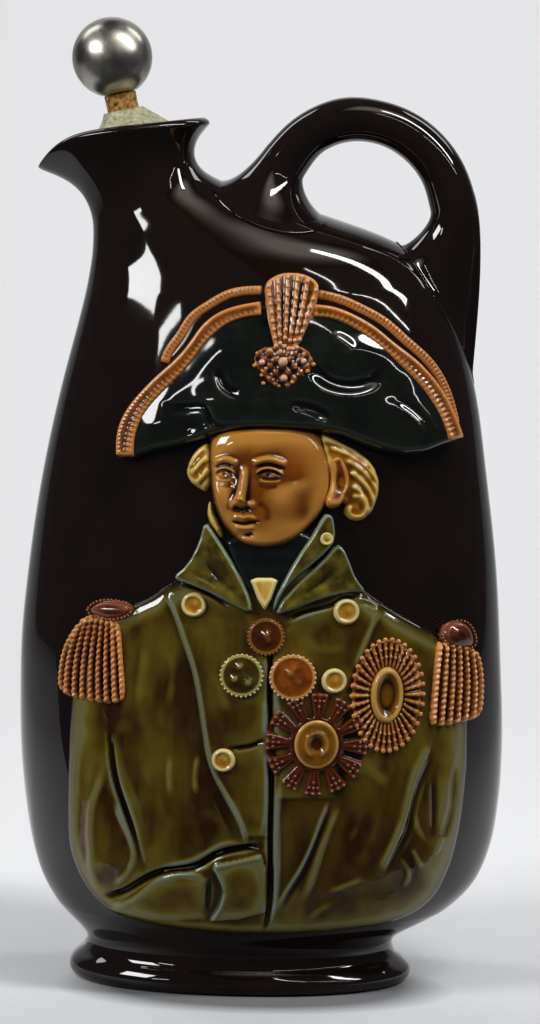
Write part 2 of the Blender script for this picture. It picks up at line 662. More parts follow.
# %% A smooth line through points
def smooth_line(points, count):
    """Evenly spaced points of a natural spline through the given ones."""
    points = np.asarray(points, float)
    knots = np.concatenate([[0.0], np.cumsum(np.linalg.norm(np.diff(points[:, :2], axis=0), axis=1))])
    step = np.diff(knots)
    bend = np.zeros_like(points)
    if len(points) > 2:
        matrix = np.diag(2 * (step[:-1] + step[1:])) + np.diag(step[1:-1], 1) + np.diag(step[1:-1], -1)
        slopes = np.diff(points, axis=0) / step[:, None]
        bend[1:-1] = np.linalg.solve(matrix, 6 * np.diff(slopes, axis=0))
    places = np.linspace(0, knots[-1], count)
    at = np.clip(np.searchsorted(knots, places) - 1, 0, len(step) - 1)
    h = step[at][:, None]
    a = (knots[at + 1] - places)[:, None] / h
    b = 1 - a
    curved = ((a**3 - a) * bend[at] + (b**3 - b) * bend[at + 1]) * h**2 / 6
    return a * points[at] + b * points[at + 1] + curved


# %% Where the handle runs out on the body
HANDLE_COLUMNS = 32
SKIN_DEPTH, SKIRT, BURIED_SHARE = 0.12, (0.9, 0.5), 0.15
handle_angles = np.arange(HANDLE_COLUMNS) * 2 * math.pi / HANDLE_COLUMNS
widest = np.argmax(levels[:, 2])
narrowest = np.argmin(levels[:, 2])
right_outline = levels[widest:narrowest][::-1, 2:4]
print("the body's outline under the handle:", len(right_outline), "levels")


def on_ridge(x):
    """The point of the body's right-hand outline at this x, from the neck down to the widest place."""
    return np.array([x, np.interp(x, right_outline[:, 0], right_outline[:, 1])])


def laid_down(inner_x, outer_x, drop):
    """A loop on the body between two places of its outline, and the ways out and away from it there."""
    inner, outer = on_ridge(inner_x), on_ridge(outer_x)
    place = (inner + outer) / 2 + (inner - outer) / 2 * np.cos(handle_angles)[:, None]
    place = place + np.array(drop) * np.abs(np.sin(handle_angles))[:, None]
    loop = front_of_body(place[:, 0], place[:, 1])
    out = out_of_front(place[:, 0], place[:, 1])
    behind = np.sin(handle_angles) > 0
    loop[behind, 1] = 2 * BODY_Y - loop[behind, 1]
    out[behind, 1] *= -1
    for end in (0, HANDLE_COLUMNS // 2):
        loop[end, 1] = BODY_Y
        along = on_ridge(place[end, 0] + 0.5) - on_ridge(place[end, 0] - 0.5)
        out[end] = np.array([-along[1], 0.0, along[0]]) / np.linalg.norm(along)
    away = loop - loop.mean(axis=0)
    away -= out * np.sum(away * out, axis=1, keepdims=True)
    return loop, out, away / np.linalg.norm(away, axis=1, keepdims=True)


def spread_end(ring, heading, foot, steps, pull_ring, pull_foot):
    """Rings from the tube's end down to the body, where they lie flat, then under its surface."""
    loop, out, away = foot
    reach = np.linalg.norm(loop - ring, axis=1, keepdims=True)
    rings = []
    for t in np.linspace(0, 1, steps + 1)[1:]:
        rings.append((2 * t**3 - 3 * t**2 + 1) * ring + (t**3 - 2 * t**2 + t) * reach * pull_ring * heading
            + (3 * t**2 - 2 * t**3) * (loop - SKIN_DEPTH * out) + (t**3 - t**2) * reach * pull_foot * away)
    centre = loop.mean(axis=0)
    return rings + [loop + away * SKIRT[0] - out * SKIRT[1], (loop + centre) / 2 - out * 2.0,
        centre + (loop - centre) * BURIED_SHARE]


# %% Handle
HANDLE_THICKNESS = 10.7
HANDLE_LINE = (
    (3.0, 198.2, 1.08), (7.4, 203.6, 1.00), (12.4, 206.9, 0.99), (17.6, 208.5, 1.00), (24.0, 208.3, 0.97),
    (30.6, 206.2, 0.98), (36.6, 201.9, 1.00), (41.2, 195.6, 1.02), (43.6, 188.6, 1.06))
ROOT_FOOT = laid_down(13.0, -13.2, (-1.8, -6.4))
TAIL_FOOT = laid_down(31.0, 49.4, (1.2, 0.6))
handle_line = smooth_line(HANDLE_LINE, 34)
headings = np.gradient(handle_line[:, :2], axis=0)
headings /= np.linalg.norm(headings, axis=1, keepdims=True)
tube = []
for (x, z, share), (run, rise) in zip(handle_line, headings):
    radius = share * HANDLE_THICKNESS / 2
    side = radius * np.cos(handle_angles)
    tube.append(np.stack([x + rise * side, BODY_Y + radius * np.sin(handle_angles), z - run * side], axis=1))
root = spread_end(tube[0], np.array([-headings[0][0], 0, -headings[0][1]]), ROOT_FOOT, 9, 0.75, 0.9)
tail = spread_end(tube[-1], np.array([headings[-1][0], 0, headings[-1][1]]), TAIL_FOOT, 14, 0.85, 0.55)
handle = subdivided(extruded_rings("handle", pushed_out(root[::-1] + tube + tail)), 1)
right_way_out(handle)
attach(handle, "root")

# %% [markdown]
# The flask is one kind of ware: buff stoneware under a thick, clear lead-like glaze, coloured treacle brown
# on the body and other colours on the relief. A glaze is glass, so its IOR is about 1.5, it is no metal and
# it is very smooth, but it lies a little unevenly, with ripples some millimetres long, and a fine orange
# peel under one millimetre. Where it runs off an edge it is thin and pale, and in a hollow it pools dark.
# Each relief piece carries those two facts as attributes, "thin" and "pooled", and its colour reads them.

# %% One glaze for every colour
GLAZE_IOR = 1.52
RIPPLE_MM, PEEL_MM, PEEL_HEIGHT = 9.0, 0.8, 0.0012


def ripple(tree, place, length_mm, height, under=None):
    """A bump of soft waves this long, added to the bump under it. Returns its normal."""
    waves = add_node(tree, "ShaderNodeTexNoise", {"Scale": 1 / (length_mm * MM), "Detail": 2.0,
        "Roughness": 0.5}, {"Vector": place})
    links = {"Height": waves.outputs["Fac"]}
    if under is not None:
        links["Normal"] = under
    bump = add_node(tree, "ShaderNodeBump", {"Strength": 1.0, "Distance": height * MM}, links)
    return bump.outputs["Normal"]


def glazed(name, thin, flat, pooled, mottle="#808080", mottle_mm=5.0, roughness=0.07, wave=0.05,
        breaking=None, drawn_out=1.0, bloom=None, bloom_mm=20.0):
    """Clear glaze over coloured slip: thin on edges, flat colour, pooled in hollows, with soft mottling.

    Between flat and thin it may pass through a breaking colour. Mottling may be drawn out downwards, and
    wide patches of another colour, a bloom, may lie under it.
    """
    made, tree, shader = new_material(name)
    place = add_node(tree, "ShaderNodeTexCoord").outputs["Object"]
    edge = add_node(tree, "ShaderNodeAttribute", {"attribute_name": "thin"})
    hollow = add_node(tree, "ShaderNodeAttribute", {"attribute_name": "pooled"})
    stretched = add_node(tree, "ShaderNodeMapping", {"Scale": (1.0, 1.0, 1 / drawn_out)}, {"Vector": place})
    clouds = add_node(tree, "ShaderNodeTexNoise", {"Scale": 1 / (mottle_mm * MM), "Detail": 3.0},
        {"Vector": stretched.outputs["Vector"]})
    cloud = add_node(tree, "ShaderNodeMapRange", {"From Min": 0.40, "From Max": 0.62, "To Max": 0.85},
        {"Value": clouds.outputs["Fac"]})
    under_clouds = {0: cloud.outputs["Result"]}
    if bloom:
        patches = add_node(tree, "ShaderNodeTexNoise", {"Scale": 1 / (bloom_mm * MM), "Detail": 2.0},
            {"Vector": stretched.outputs["Vector"]})
        patch = add_node(tree, "ShaderNodeMapRange", {"From Min": 0.46, "From Max": 0.7, "To Max": 0.7},
            {"Value": patches.outputs["Fac"]})
        blooming = add_node(tree, "ShaderNodeMix", {"data_type": "RGBA", 6: linear(flat), 7: linear(bloom)},
            {0: patch.outputs["Result"]})
        under_clouds[6] = blooming.outputs[2]
    colour = add_node(tree, "ShaderNodeMix", {"data_type": "RGBA", 6: linear(flat), 7: linear(mottle)},
        under_clouds).outputs[2]
    breaks = ((breaking, 0.0, 0.5), (thin, 0.4, 1.0)) if breaking else 2 * ((thin, 0.0, 1.0),)
    for paler, start, end in breaks:
        reach = add_node(tree, "ShaderNodeMapRange", {"From Min": start, "From Max": end},
            {"Value": edge.outputs["Fac"]})
        colour = add_node(tree, "ShaderNodeMix", {"data_type": "RGBA", 7: linear(paler)},
            {0: reach.outputs["Result"], 6: colour}).outputs[2]
    colour = add_node(tree, "ShaderNodeMix", {"data_type": "RGBA", 7: linear(pooled)},
        {0: hollow.outputs["Fac"], 6: colour}).outputs[2]
    uneven = ripple(tree, place, PEEL_MM, PEEL_HEIGHT, ripple(tree, place, RIPPLE_MM, wave))
    set_shader(shader, Base_Color=colour, Normal=uneven, Roughness=roughness, IOR=GLAZE_IOR)
    return made


treacle_glaze = glazed("treacle_brown_stoneware_glaze", "#2e1a10", "#150e0b", "#080504", "#1a100c", 14.0,
    roughness=0.045, wave=0.014)
for piece in (flask_body, handle):
    piece.data.materials.append(treacle_glaze)
print(treacle_glaze.name, "nodes:", len(treacle_glaze.node_tree.nodes))

# %% [markdown]
# The collar is silver sheet, spun to a shallow flare. The stopper is a tapered cork with a hollow silver
# ball on top. Silver keeps the metal's default IOR. It was polished once and has dulled since, so it has a
# roughness that varies, hairline scratches under a tenth of a millimetre, drawn here a little coarser to
# show, and brown tarnish in the low places. Cork is dry bark: rough, tan, with dark pits 0.5 to 2 mm wide.

# %% Silver and cork finishes
silver, tree, shader = new_material("dulled_polished_silver")
place = add_node(tree, "ShaderNodeTexCoord").outputs["Object"]
smudges = add_node(tree, "ShaderNodeTexNoise", {"Scale": 1 / (5 * MM), "Detail": 4.0}, {"Vector": place})
dulled = add_node(tree, "ShaderNodeMapRange", {"From Min": 0.35, "From Max": 0.7, "To Min": 0.24,
    "To Max": 0.38}, {"Value": smudges.outputs["Fac"]})
tarnish = add_node(tree, "ShaderNodeValToRGB", None, {"Fac": smudges.outputs["Fac"]})
tarnished = colour_stops(tarnish, ((0.3, "#98948a"), (0.62, "#b8b4aa")))
stretched = add_node(tree, "ShaderNodeMapping", {"Scale": (1.0, 1.0, 14.0), "Rotation": (0.4, 0.6, 0.2)},
    {"Vector": place})
hairlines = add_node(tree, "ShaderNodeTexNoise", {"Scale": 1 / (2.2 * MM), "Detail": 2.0},
    {"Vector": stretched.outputs["Vector"]})
scratch = add_node(tree, "ShaderNodeBump", {"Strength": 0.25, "Distance": 0.01 * MM},
    {"Height": hairlines.outputs["Fac"]})
set_shader(shader, Base_Color=tarnished, Metallic=1.0, Roughness=dulled.outputs["Result"],
    Normal=scratch.outputs["Normal"])

bark, tree, shader = new_material("dry_pitted_cork")
place = add_node(tree, "ShaderNodeTexCoord").outputs["Object"]
pits = add_node(tree, "ShaderNodeTexVoronoi", {"Scale": 1 / (1.3 * MM), "Randomness": 1.0}, {"Vector": place})
grain = add_node(tree, "ShaderNodeTexNoise", {"Scale": 1 / (0.9 * MM), "Detail": 5.0}, {"Vector": place})
pit_ramp = add_node(tree, "ShaderNodeValToRGB", None, {"Fac": pits.outputs["Distance"]})
pitted = colour_stops(pit_ramp, ((0.12, "#3a2410"), (0.32, "#a5793a"), (0.8, "#c09a58")))
grain_ramp = add_node(tree, "ShaderNodeValToRGB", None, {"Fac": grain.outputs["Fac"]})
speckled = colour_stops(grain_ramp, ((0.36, "#7a5020"), (0.62, "#ffffff")))
cork_mix = add_node(tree, "ShaderNodeMix", {"data_type": "RGBA", "blend_type": "MULTIPLY", 0: 0.8},
    {6: pitted, 7: speckled})
dents = add_node(tree, "ShaderNodeBump", {"Strength": 0.6, "Distance": 0.3 * MM},
    {"Height": pits.outputs["Distance"]})
set_shader(shader, Base_Color=cork_mix.outputs[2], Roughness=0.85, IOR=1.4, Normal=dents.outputs["Normal"])
for finish in (silver, bark):
    print(finish.name, "nodes:", len(finish.node_tree.nodes))

# %% [markdown]
# The CAD ball and collar have few sides, which a mirror finish would show. So each is made again in the
# same place with a finer surface: the collar is the same profile turned with more sides, and the ball a
# fine sphere cut flat where it sits on the cork. The collar was never polished: it is coated with pale,
# speckled lime from many years of use.

# %% Silver collar
COLLAR_RADIUS, COLLAR_SHEET, COLLAR_RISE = 10.3, 0.7, 4.4
FLANGE_DROP, SLEEVE_DEPTH = 0.5, 6.5
FIT, FLARE_STEPS, FLARE_BEND, FLARE_FOOT = 0.3, 14, 1.3, 0.95
STOPPER_TILT = math.radians(12.8)
STOPPER = (MOUTH[0] - 1.9, MOUTH[1])
CORK_TOP, CORK_END, CORK_LENGTH = 3.85, 3.3, 27.0
BALL_RADIUS, BALL_RISE = 9.6, 17.2
COLLAR_COLUMNS = 72
flat_height = math.sqrt(BALL_RADIUS**2 - (CORK_TOP + FIT) ** 2)
cork_top_height = BALL_RISE - flat_height - 0.03
collar_share = (cork_top_height - COLLAR_RISE) / CORK_LENGTH
throat = CORK_TOP + (CORK_END - CORK_TOP) * collar_share + FIT
under = -(FLANGE_DROP + COLLAR_SHEET)
sleeve = BORE_RADIUS - FIT
flare_radius = COLLAR_RADIUS * FLARE_FOOT
collar_profile = [(sleeve, -SLEEVE_DEPTH), (sleeve, under - 0.1), (COLLAR_RADIUS - 0.2, under),
    (COLLAR_RADIUS, under + 0.2), (COLLAR_RADIUS, -FLANGE_DROP - 0.2), (COLLAR_RADIUS - 0.15, -FLANGE_DROP)]
flare = []
for step in range(FLARE_STEPS + 1):
    share = step / FLARE_STEPS
    flare.append((flare_radius + (throat + COLLAR_SHEET - flare_radius) * share,
        COLLAR_RISE * share**FLARE_BEND))
collar_profile += flare + [(throat + 0.15, COLLAR_RISE)]
collar_profile += [(max(radius - COLLAR_SHEET, throat), height - 0.75 * COLLAR_SHEET)
    for radius, height in flare[::-1] if height > 0.05]
collar_profile += [(sleeve - COLLAR_SHEET, under), (sleeve - COLLAR_SHEET, -SLEEVE_DEPTH)]
collar_angles = np.arange(COLLAR_COLUMNS) * 2 * math.pi / COLLAR_COLUMNS
collar_rings = []
for radius, height in collar_profile:
    blend = min(max(height / COLLAR_RISE, 0.0), 1.0)
    x0, z0 = up_axis(MOUTH, MOUTH_TILT, height)
    x1, z1 = up_axis(STOPPER, STOPPER_TILT, height)
    tilt = MOUTH_TILT + (STOPPER_TILT - MOUTH_TILT) * blend
    collar_rings.append(tilted_ring(x0 + (x1 - x0) * blend, z0 + (z1 - z0) * blend, radius, tilt,
        collar_angles))
collar = extruded_rings("silver_collar", collar_rings)
select_only(collar)
pick_faces(collar, lambda face: len(face.verts) > 4)
bpy.ops.mesh.delete(type="ONLY_FACE")
bpy.ops.mesh.select_non_manifold()
bpy.ops.mesh.bridge_edge_loops()
bpy.ops.object.mode_set(mode="OBJECT")
right_way_out(collar)
bpy.ops.object.shade_smooth_by_angle(angle=math.radians(50))
print("collar sides:", COLLAR_COLUMNS, "faces:", len(collar.data.polygons))

# %% Cork
WORN_RIM = 0.35
select_only()
cork_x, cork_z = up_axis(STOPPER, STOPPER_TILT, cork_top_height - CORK_LENGTH / 2)
bpy.ops.mesh.primitive_cone_add(vertices=40, radius1=CORK_END * MM, radius2=CORK_TOP * MM,
    depth=CORK_LENGTH * MM, location=(cork_x * MM, BODY_Y * MM, cork_z * MM), rotation=(0, -STOPPER_TILT, 0))
cork = bpy.context.object
cork.name = "cork"
settle(cork)
bevel = cork.modifiers.new("worn rims", "BEVEL")
bevel.width = WORN_RIM * MM
bevel.segments = 2
bevel.limit_method = "ANGLE"
apply_all(cork)
bpy.ops.object.shade_smooth_by_angle(angle=math.radians(40))
print("cork faces:", len(cork.data.polygons))

# %% Ball
select_only()
ball_x, ball_z = up_axis(STOPPER, STOPPER_TILT, BALL_RISE)
bpy.ops.mesh.primitive_uv_sphere_add(segments=72, ring_count=48, radius=BALL_RADIUS * MM)
ball = bpy.context.object
ball.name = "silver_ball"
ball.location = (ball_x * MM, BODY_Y * MM, ball_z * MM)
ball.rotation_euler = (0, -STOPPER_TILT, 0)
bpy.ops.object.mode_set(mode="EDIT")
bpy.ops.mesh.select_all(action="SELECT")
down = Vector((math.sin(STOPPER_TILT), 0, -math.cos(STOPPER_TILT)))
cut_at = Vector((ball_x, BODY_Y, ball_z)) * MM + down * flat_height * MM
bpy.ops.mesh.bisect(plane_co=cut_at, plane_no=down, use_fill=True, clear_outer=True)
bpy.ops.object.mode_set(mode="OBJECT")
settle(ball)
right_way_out(ball)
bpy.ops.object.shade_smooth_by_angle(angle=math.radians(40))
print("ball faces:", len(ball.data.polygons))

# %% Limed silver, and the finishes of the three pieces
limed, tree, shader = new_material("limed_silver_collar")
place = add_node(tree, "ShaderNodeTexCoord").outputs["Object"]
crust = add_node(tree, "ShaderNodeTexNoise", {"Scale": 1 / (1.1 * MM), "Detail": 5.0, "Roughness": 0.6},
    {"Vector": place})
crust_ramp = add_node(tree, "ShaderNodeValToRGB", None, {"Fac": crust.outputs["Fac"]})
crusted = colour_stops(crust_ramp, ((0.3, "#77754f"), (0.45, "#a3a37c"), (0.66, "#c2c2a8")))
crumbs = add_node(tree, "ShaderNodeBump", {"Strength": 0.35, "Distance": 0.08 * MM},
    {"Height": crust.outputs["Fac"]})
set_shader(shader, Base_Color=crusted, Metallic=0.3, Roughness=0.45, Normal=crumbs.outputs["Normal"])
for piece, node, finish, slot in ((collar, "mouth_collar", limed, "silver"),
        (cork, "stopper_cork", bark, "cork"), (ball, "stopper_ball", silver, "silver")):
    piece.data.materials.clear()
    piece.data.materials.append(finish)
    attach(piece, "root")
    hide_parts(node)
    print(piece.name, "is", finish.name)

# %% [markdown]
# The officer's bust is sprigged relief: shallow forms a few millimetres high, all pressed in one mould with
# the body. It could be sculpted by hand on a dense mesh. Here each part is a height drawn over the body's
# front with a few kinds of mark: a plate inside an outline, and a fold or a groove along a line. The marks
# are read off the picture in its pixels, and on_body puts them where they lie on the curved body.

# %% Marks that make a height
BURIED = 0.75
WAVES = 7


def line_on_body(spots, height=2.2):
    """A smooth line on the body, in millimetres, through spots of the picture."""
    points = on_body(spots, height)
    return smooth_line(points, 10 * len(points)) if len(points) > 2 else points


def middle_on_body(spot, height):
    """Where one spot of the picture lies on the body, in millimetres."""
    return on_body((spot,), height)[0]


def along_line(x, z, line, reach):
    """How far points lie off a line, on which side of it, and how far along it from 0 to 1."""
    off, side, along = np.full(x.shape, 1e3), np.ones(x.shape), np.zeros(x.shape)
    low, high = line.min(axis=0) - reach, line.max(axis=0) + reach
    near = (x > low[0]) & (x < high[0]) & (z > low[1]) & (z < high[1])
    px, pz = x[near], z[near]
    best, best_side, best_along = np.full(px.shape, 1e3), np.ones(px.shape), np.zeros(px.shape)
    lengths = np.linalg.norm(np.diff(line, axis=0), axis=1)
    starts = np.concatenate([[0.0], np.cumsum(lengths)])
    for a, b, start, length in zip(line[:-1], line[1:], starts, lengths):
        run = (b - a) / max(length, 1e-6)
        reach_along = np.clip((px - a[0]) * run[0] + (pz - a[1]) * run[1], 0, length)
        gap_x, gap_z = px - a[0] - reach_along * run[0], pz - a[1] - reach_along * run[1]
        gap = np.hypot(gap_x, gap_z)
        closer = gap < best
        best = np.where(closer, gap, best)
        best_side = np.where(closer, np.sign(run[0] * gap_z - run[1] * gap_x), best_side)
        best_along = np.where(closer, (start + reach_along) / starts[-1], best_along)
    off[near], side[near], along[near] = best, best_side, best_along
    return off, side, along


def fold(x, z, line, rise, left, right=None, taper=0.2):
    """A fold along a line, with a reach to its left and to its right, fading at both ends."""
    right = left if right is None else right
    off, side, along = along_line(x, z, line, max(left, right))
    share = np.clip(off / np.where(side > 0, left, right), 0, 1)
    ends = eased(along / taper) * eased((1 - along) / taper) if taper else 1.0
    return rise * (0.5 + 0.5 * np.cos(math.pi * share)) * ends


def depth_inside(x, z, outline):
    """How far points lie inside a closed outline, negative outside it."""
    closed = np.concatenate([outline, outline[:1]])
    inside = np.zeros(x.shape, bool)
    for (ax, az), (bx, bz) in zip(closed[:-1], closed[1:]):
        if az != bz:
            inside ^= ((az > z) != (bz > z)) & (x < (bx - ax) * (z - az) / (bz - az) + ax)
    off = along_line(x, z, closed, 400.0)[0]
    return np.where(inside, off, -off)


def rounded(outline, times=2):
    """An outline with its corners cut off, again and again, until it looks drawn in one stroke."""
    for _ in range(times):
        following = np.roll(outline, -1, axis=0)
        pairs = 0.75 * outline + 0.25 * following, 0.25 * outline + 0.75 * following
        outline = np.stack(pairs, 1).reshape(-1, 2)
    return outline


def edge_on_body(spots, height, times=2):
    """A rounded outline on the body, in millimetres, through spots of the picture."""
    return rounded(on_body(spots, height), times)


def rounded_edge(depth, width):
    """0 outside an outline, rising over a rounded edge to 1 at the width inside it."""
    share = np.clip(depth / width, 0, 1)
    return (1 - (1 - share) ** 2) ** 0.7


def plate(height, depth, width):
    """A height inside an outline, with a rounded edge that goes down into the body around it."""
    return -BURIED + (height + BURIED) * rounded_edge(depth, width)


def bump(x, z, centre, half_x, half_z, turn=0.0):
    """A soft round swelling, 1 at its centre and fading to nothing about two half sizes away."""
    run, rise = x - centre[0], z - centre[1]
    across = (run * math.cos(turn) + rise * math.sin(turn)) / half_x
    up = (-run * math.sin(turn) + rise * math.cos(turn)) / half_z
    return np.exp(-(across**2 + up**2))


def hand_waves(x, z, length, seed):
    """Smooth unevenness left by the modeller's hand, from -1 to 1, with waves about this long."""
    dice = np.random.default_rng(seed)
    total = np.zeros(np.shape(x))
    for _ in range(WAVES):
        turn, start = dice.uniform(0, 2 * math.pi, 2)
        stretch = dice.uniform(0.7, 1.4) * 2 * math.pi / length
        total += np.sin((x * math.cos(turn) + z * math.sin(turn)) * stretch + start)
    return total / 4


# %% [markdown]
# A relief piece starts as a flat grid, a fraction of a millimetre fine. Each point gets its height, and the
# points that lie well below the body are deleted. The grid is then laid on the body's front, given a back
# inside the wall with Solidify, and its hidden back is thinned out. Comparing each height with a blurred
# copy of itself tells where the glaze runs thin, on edges, and where it pools, in hollows.

# %% A relief piece
SUNK, BACK = 0.5, 0.9
SOFTENED, BROAD = 0.16, 2.4
MARGIN = 1.2
BACK_KEPT = 0.06


def blurred(grid, reach):
    """A grid of heights, blurred over this many cells."""
    steps = np.arange(-int(3 * reach) - 1, int(3 * reach) + 2)
    weights = np.exp(-0.5 * (steps / reach) ** 2)
    weights /= weights.sum()
    edge = len(steps) // 2
    for axis in (0, 1):
        grid = np.swapaxes(grid, 0, axis)
        padded = np.concatenate([np.repeat(grid[:1], edge, 0), grid, np.repeat(grid[-1:], edge, 0)])
        grid = sum(w * padded[i:i + len(grid)] for i, w in enumerate(weights))
        grid = np.swapaxes(grid, 0, axis)
    return grid


def store(piece, name, values):
    """Keeps one number for every point of a mesh, for a material to read."""
    attribute = piece.data.attributes.get(name) or piece.data.attributes.new(name, "FLOAT", "POINT")
    attribute.data.foreach_set("value", np.asarray(values, np.float32).ravel())


def pick(piece, points=False, faces=False):
    """Picks these points or faces of a mesh, and nothing else."""
    parts = piece.data.vertices, piece.data.edges, piece.data.polygons
    for part, chosen in zip(parts, (points, False, faces)):
        part.foreach_set("select", np.full(len(part), chosen))


def relief_piece(name, outline, pitch, shape, finish, edge_mm=0.5, pool_mm=1.1, edge_gain=5.0, pool_gain=3.0,
        rim_mm=0.0, broad_gain=0.0):
    """A closed piece of relief over the body's front, raised by shape(x, z) millimetres."""
    low, high = outline.min(axis=0) - MARGIN, outline.max(axis=0) + MARGIN
    cells = np.maximum(np.ceil((high - low) / pitch).astype(int), 4)
    select_only()
    bpy.ops.mesh.primitive_grid_add(x_subdivisions=int(cells[0]), y_subdivisions=int(cells[1]), size=2.0)
    piece = bpy.context.object
    piece.name = piece.data.name = name
    flat = points_of(piece) * MM
    columns = np.round((flat[:, 0] + 1) / 2 * cells[0]).astype(int)
    rows = np.round((flat[:, 1] + 1) / 2 * cells[1]).astype(int)
    x_grid, z_grid = np.meshgrid(*(start + np.arange(count + 1) * pitch for start, count in zip(low, cells)))
    height = shape(x_grid, z_grid)
    height = np.where(height > -SUNK, np.maximum(blurred(height, SOFTENED / pitch), -0.9 * SUNK), height)
    solid = np.maximum(height, -SUNK)
    thin = np.clip((solid - blurred(solid, edge_mm / pitch)) * edge_gain - 0.12, 0, 1)
    if broad_gain:
        thin = np.maximum(thin, np.clip((solid - blurred(solid, BROAD / pitch)) * broad_gain - 0.04, 0, 0.55))
    pooled = np.clip((blurred(solid, pool_mm / pitch) - solid) * pool_gain - 0.05, 0, 1)
    wide_hollow = (blurred(solid, 3 * pool_mm / pitch) - solid) * 0.5 * pool_gain
    pooled = np.maximum(pooled, np.clip(wide_hollow - 0.08, 0, 1))
    if rim_mm:
        inwards = eased(depth_inside(x_grid, z_grid, outline) / rim_mm)
        thin, pooled = thin * inwards, np.maximum(pooled, 0.9 * (1 - inwards))
    x, z, h = x_grid[rows, columns], z_grid[rows, columns], height[rows, columns]
    set_points(piece, front_of_body(x, z) + np.maximum(h, -SUNK - 0.2)[:, None] * out_of_front(x, z))
    for key, values in zip(("thin", "pooled", "drawn_x", "drawn_z"),
            (thin[rows, columns], pooled[rows, columns], x, z)):
        store(piece, key, values)
    pick(piece, points=h <= -SUNK)
    bpy.ops.object.mode_set(mode="EDIT")
    bpy.ops.mesh.select_mode(type="VERT")
    bpy.ops.mesh.delete(type="VERT")
    bpy.ops.object.mode_set(mode="OBJECT")
    kept, faces = len(piece.data.vertices), len(piece.data.polygons)
    thicken = piece.modifiers.new("back", "SOLIDIFY")
    thicken.thickness = BACK * MM
    thicken.offset = -1.0
    apply_all(piece)
    points = points_of(piece)
    drawn = np.empty((2, len(points)), np.float32)
    for values, key in zip(drawn, ("drawn_x", "drawn_z")):
        piece.data.attributes[key].data.foreach_get("value", values)
    x, z = drawn[:, kept:2 * kept].astype(float)
    points[kept:2 * kept] = front_of_body(x, z) - BACK * out_of_front(x, z)
    set_points(piece, points)
    face_numbers = np.arange(len(piece.data.polygons))
    pick(piece, faces=(face_numbers >= faces) & (face_numbers < 2 * faces))
    bpy.ops.object.mode_set(mode="EDIT")
    bpy.ops.mesh.select_mode(type="FACE")
    bpy.ops.mesh.decimate(ratio=BACK_KEPT)
    bpy.ops.mesh.select_all(action="SELECT")
    bpy.ops.mesh.normals_make_consistent(inside=False)
    bpy.ops.object.mode_set(mode="OBJECT")
    bpy.ops.object.shade_smooth()
    for key in ("drawn_x", "drawn_z"):
        piece.data.attributes.remove(piece.data.attributes[key])
    piece.data.materials.append(finish)
    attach(piece, "root")
    print(name, "faces:", len(piece.data.polygons), "highest", round(float(height.max()), 2), "mm")


# %% [markdown]
# The coat is the largest part. Its colour is an olive green glaze that breaks to blue grey on every edge
# and to purple brown in the folds. First its outline and its masses: the chest, and two sleeves that hang
# beside it. Then the gaps, which are cut deep, and last the folds, each a soft ridge with one steeper side.

# %% Coat outline and lines
COAT_EDGE = edge_on_body((
    (163, 586), (150, 597), (133, 604), (112, 610), (92, 616), (74, 640), (66, 700), (63, 763), (61, 838),
    (70, 871), (82, 893), (96, 908), (113, 921), (150, 931), (210, 938), (270, 941), (330, 938), (392, 930),
    (420, 918), (440, 901), (452, 879), (463, 845), (470, 800), (474, 752), (474, 700), (468, 650),
    (440, 634), (430, 628), (398, 612), (368, 592), (330, 560), (215, 560)), 2.0)
CHEST = middle_on_body((262, 760), 2.2)
LEFT_SLEEVE = line_on_body(((88, 640), (84, 720), (80, 800), (84, 850), (104, 884)))
RIGHT_SLEEVE = line_on_body(((455, 650), (452, 720), (448, 790), (436, 850), (414, 890)))
GAPS = (
    (((103, 690), (109, 735), (112, 770), (119, 797), (131, 830), (140, 862), (146, 884)),
     1.5, 1.5, 0.9, 0.45),
    (((270, 642), (270, 690), (271, 740), (271, 800), (270.5, 860), (270, 905), (263, 938)),
     1.3, 0.95, 0.9, 0.08),
    (((226, 750), (236, 749), (250, 747), (268, 739)), 0.9, 1.1, 0.6, 0.3),
    (((100, 898), (120, 894), (143, 881), (166, 872), (199, 866), (212, 858), (232, 851), (267, 847)),
     1.35, 1.4, 1.1, 0.12),
    (((209, 878), (208, 895), (206, 914)), 0.8, 0.9, 0.8, 0.3),
    (((334, 794), (322, 829), (312, 852), (298, 882), (287, 899), (280, 922)), 0.5, 1.5, 0.7, 0.3),
    (((438, 745), (424, 777), (415, 804), (409, 829), (395, 856), (386, 872)), 0.55, 1.5, 0.7, 0.3),
    (((433, 768), (434, 805), (433, 842)), 0.55, 1.3, 0.8, 0.35),
    (((284, 622), (306, 612), (330, 606), (346, 598), (364, 597)), 0.85, 0.8, 0.7, 0.2),
    (((176, 584), (200, 590), (215, 598), (231, 608)), 0.9, 0.9, 0.8, 0.2),
    (((84, 730), (80, 790), (82, 850), (92, 885)), 0.3, 2.4, 2.0, 0.3),
    (((120, 730), (133, 770), (150, 810), (158, 850)), 0.3, 2.6, 3.0, 0.35),
    (((150, 690), (152, 730), (160, 765)), 0.22, 2.2, 2.2, 0.35),
    (((214, 790), (226, 820), (240, 843)), 0.35, 2.6, 1.0, 0.3),
    (((375, 800), (360, 840), (335, 880)), 0.35, 2.4, 2.0, 0.3),
    (((455, 760), (452, 810), (440, 850)), 0.35, 1.6, 1.6, 0.3),
    (((300, 905), (345, 900), (395, 893), (425, 880)), 0.3, 2.0, 2.2, 0.3))
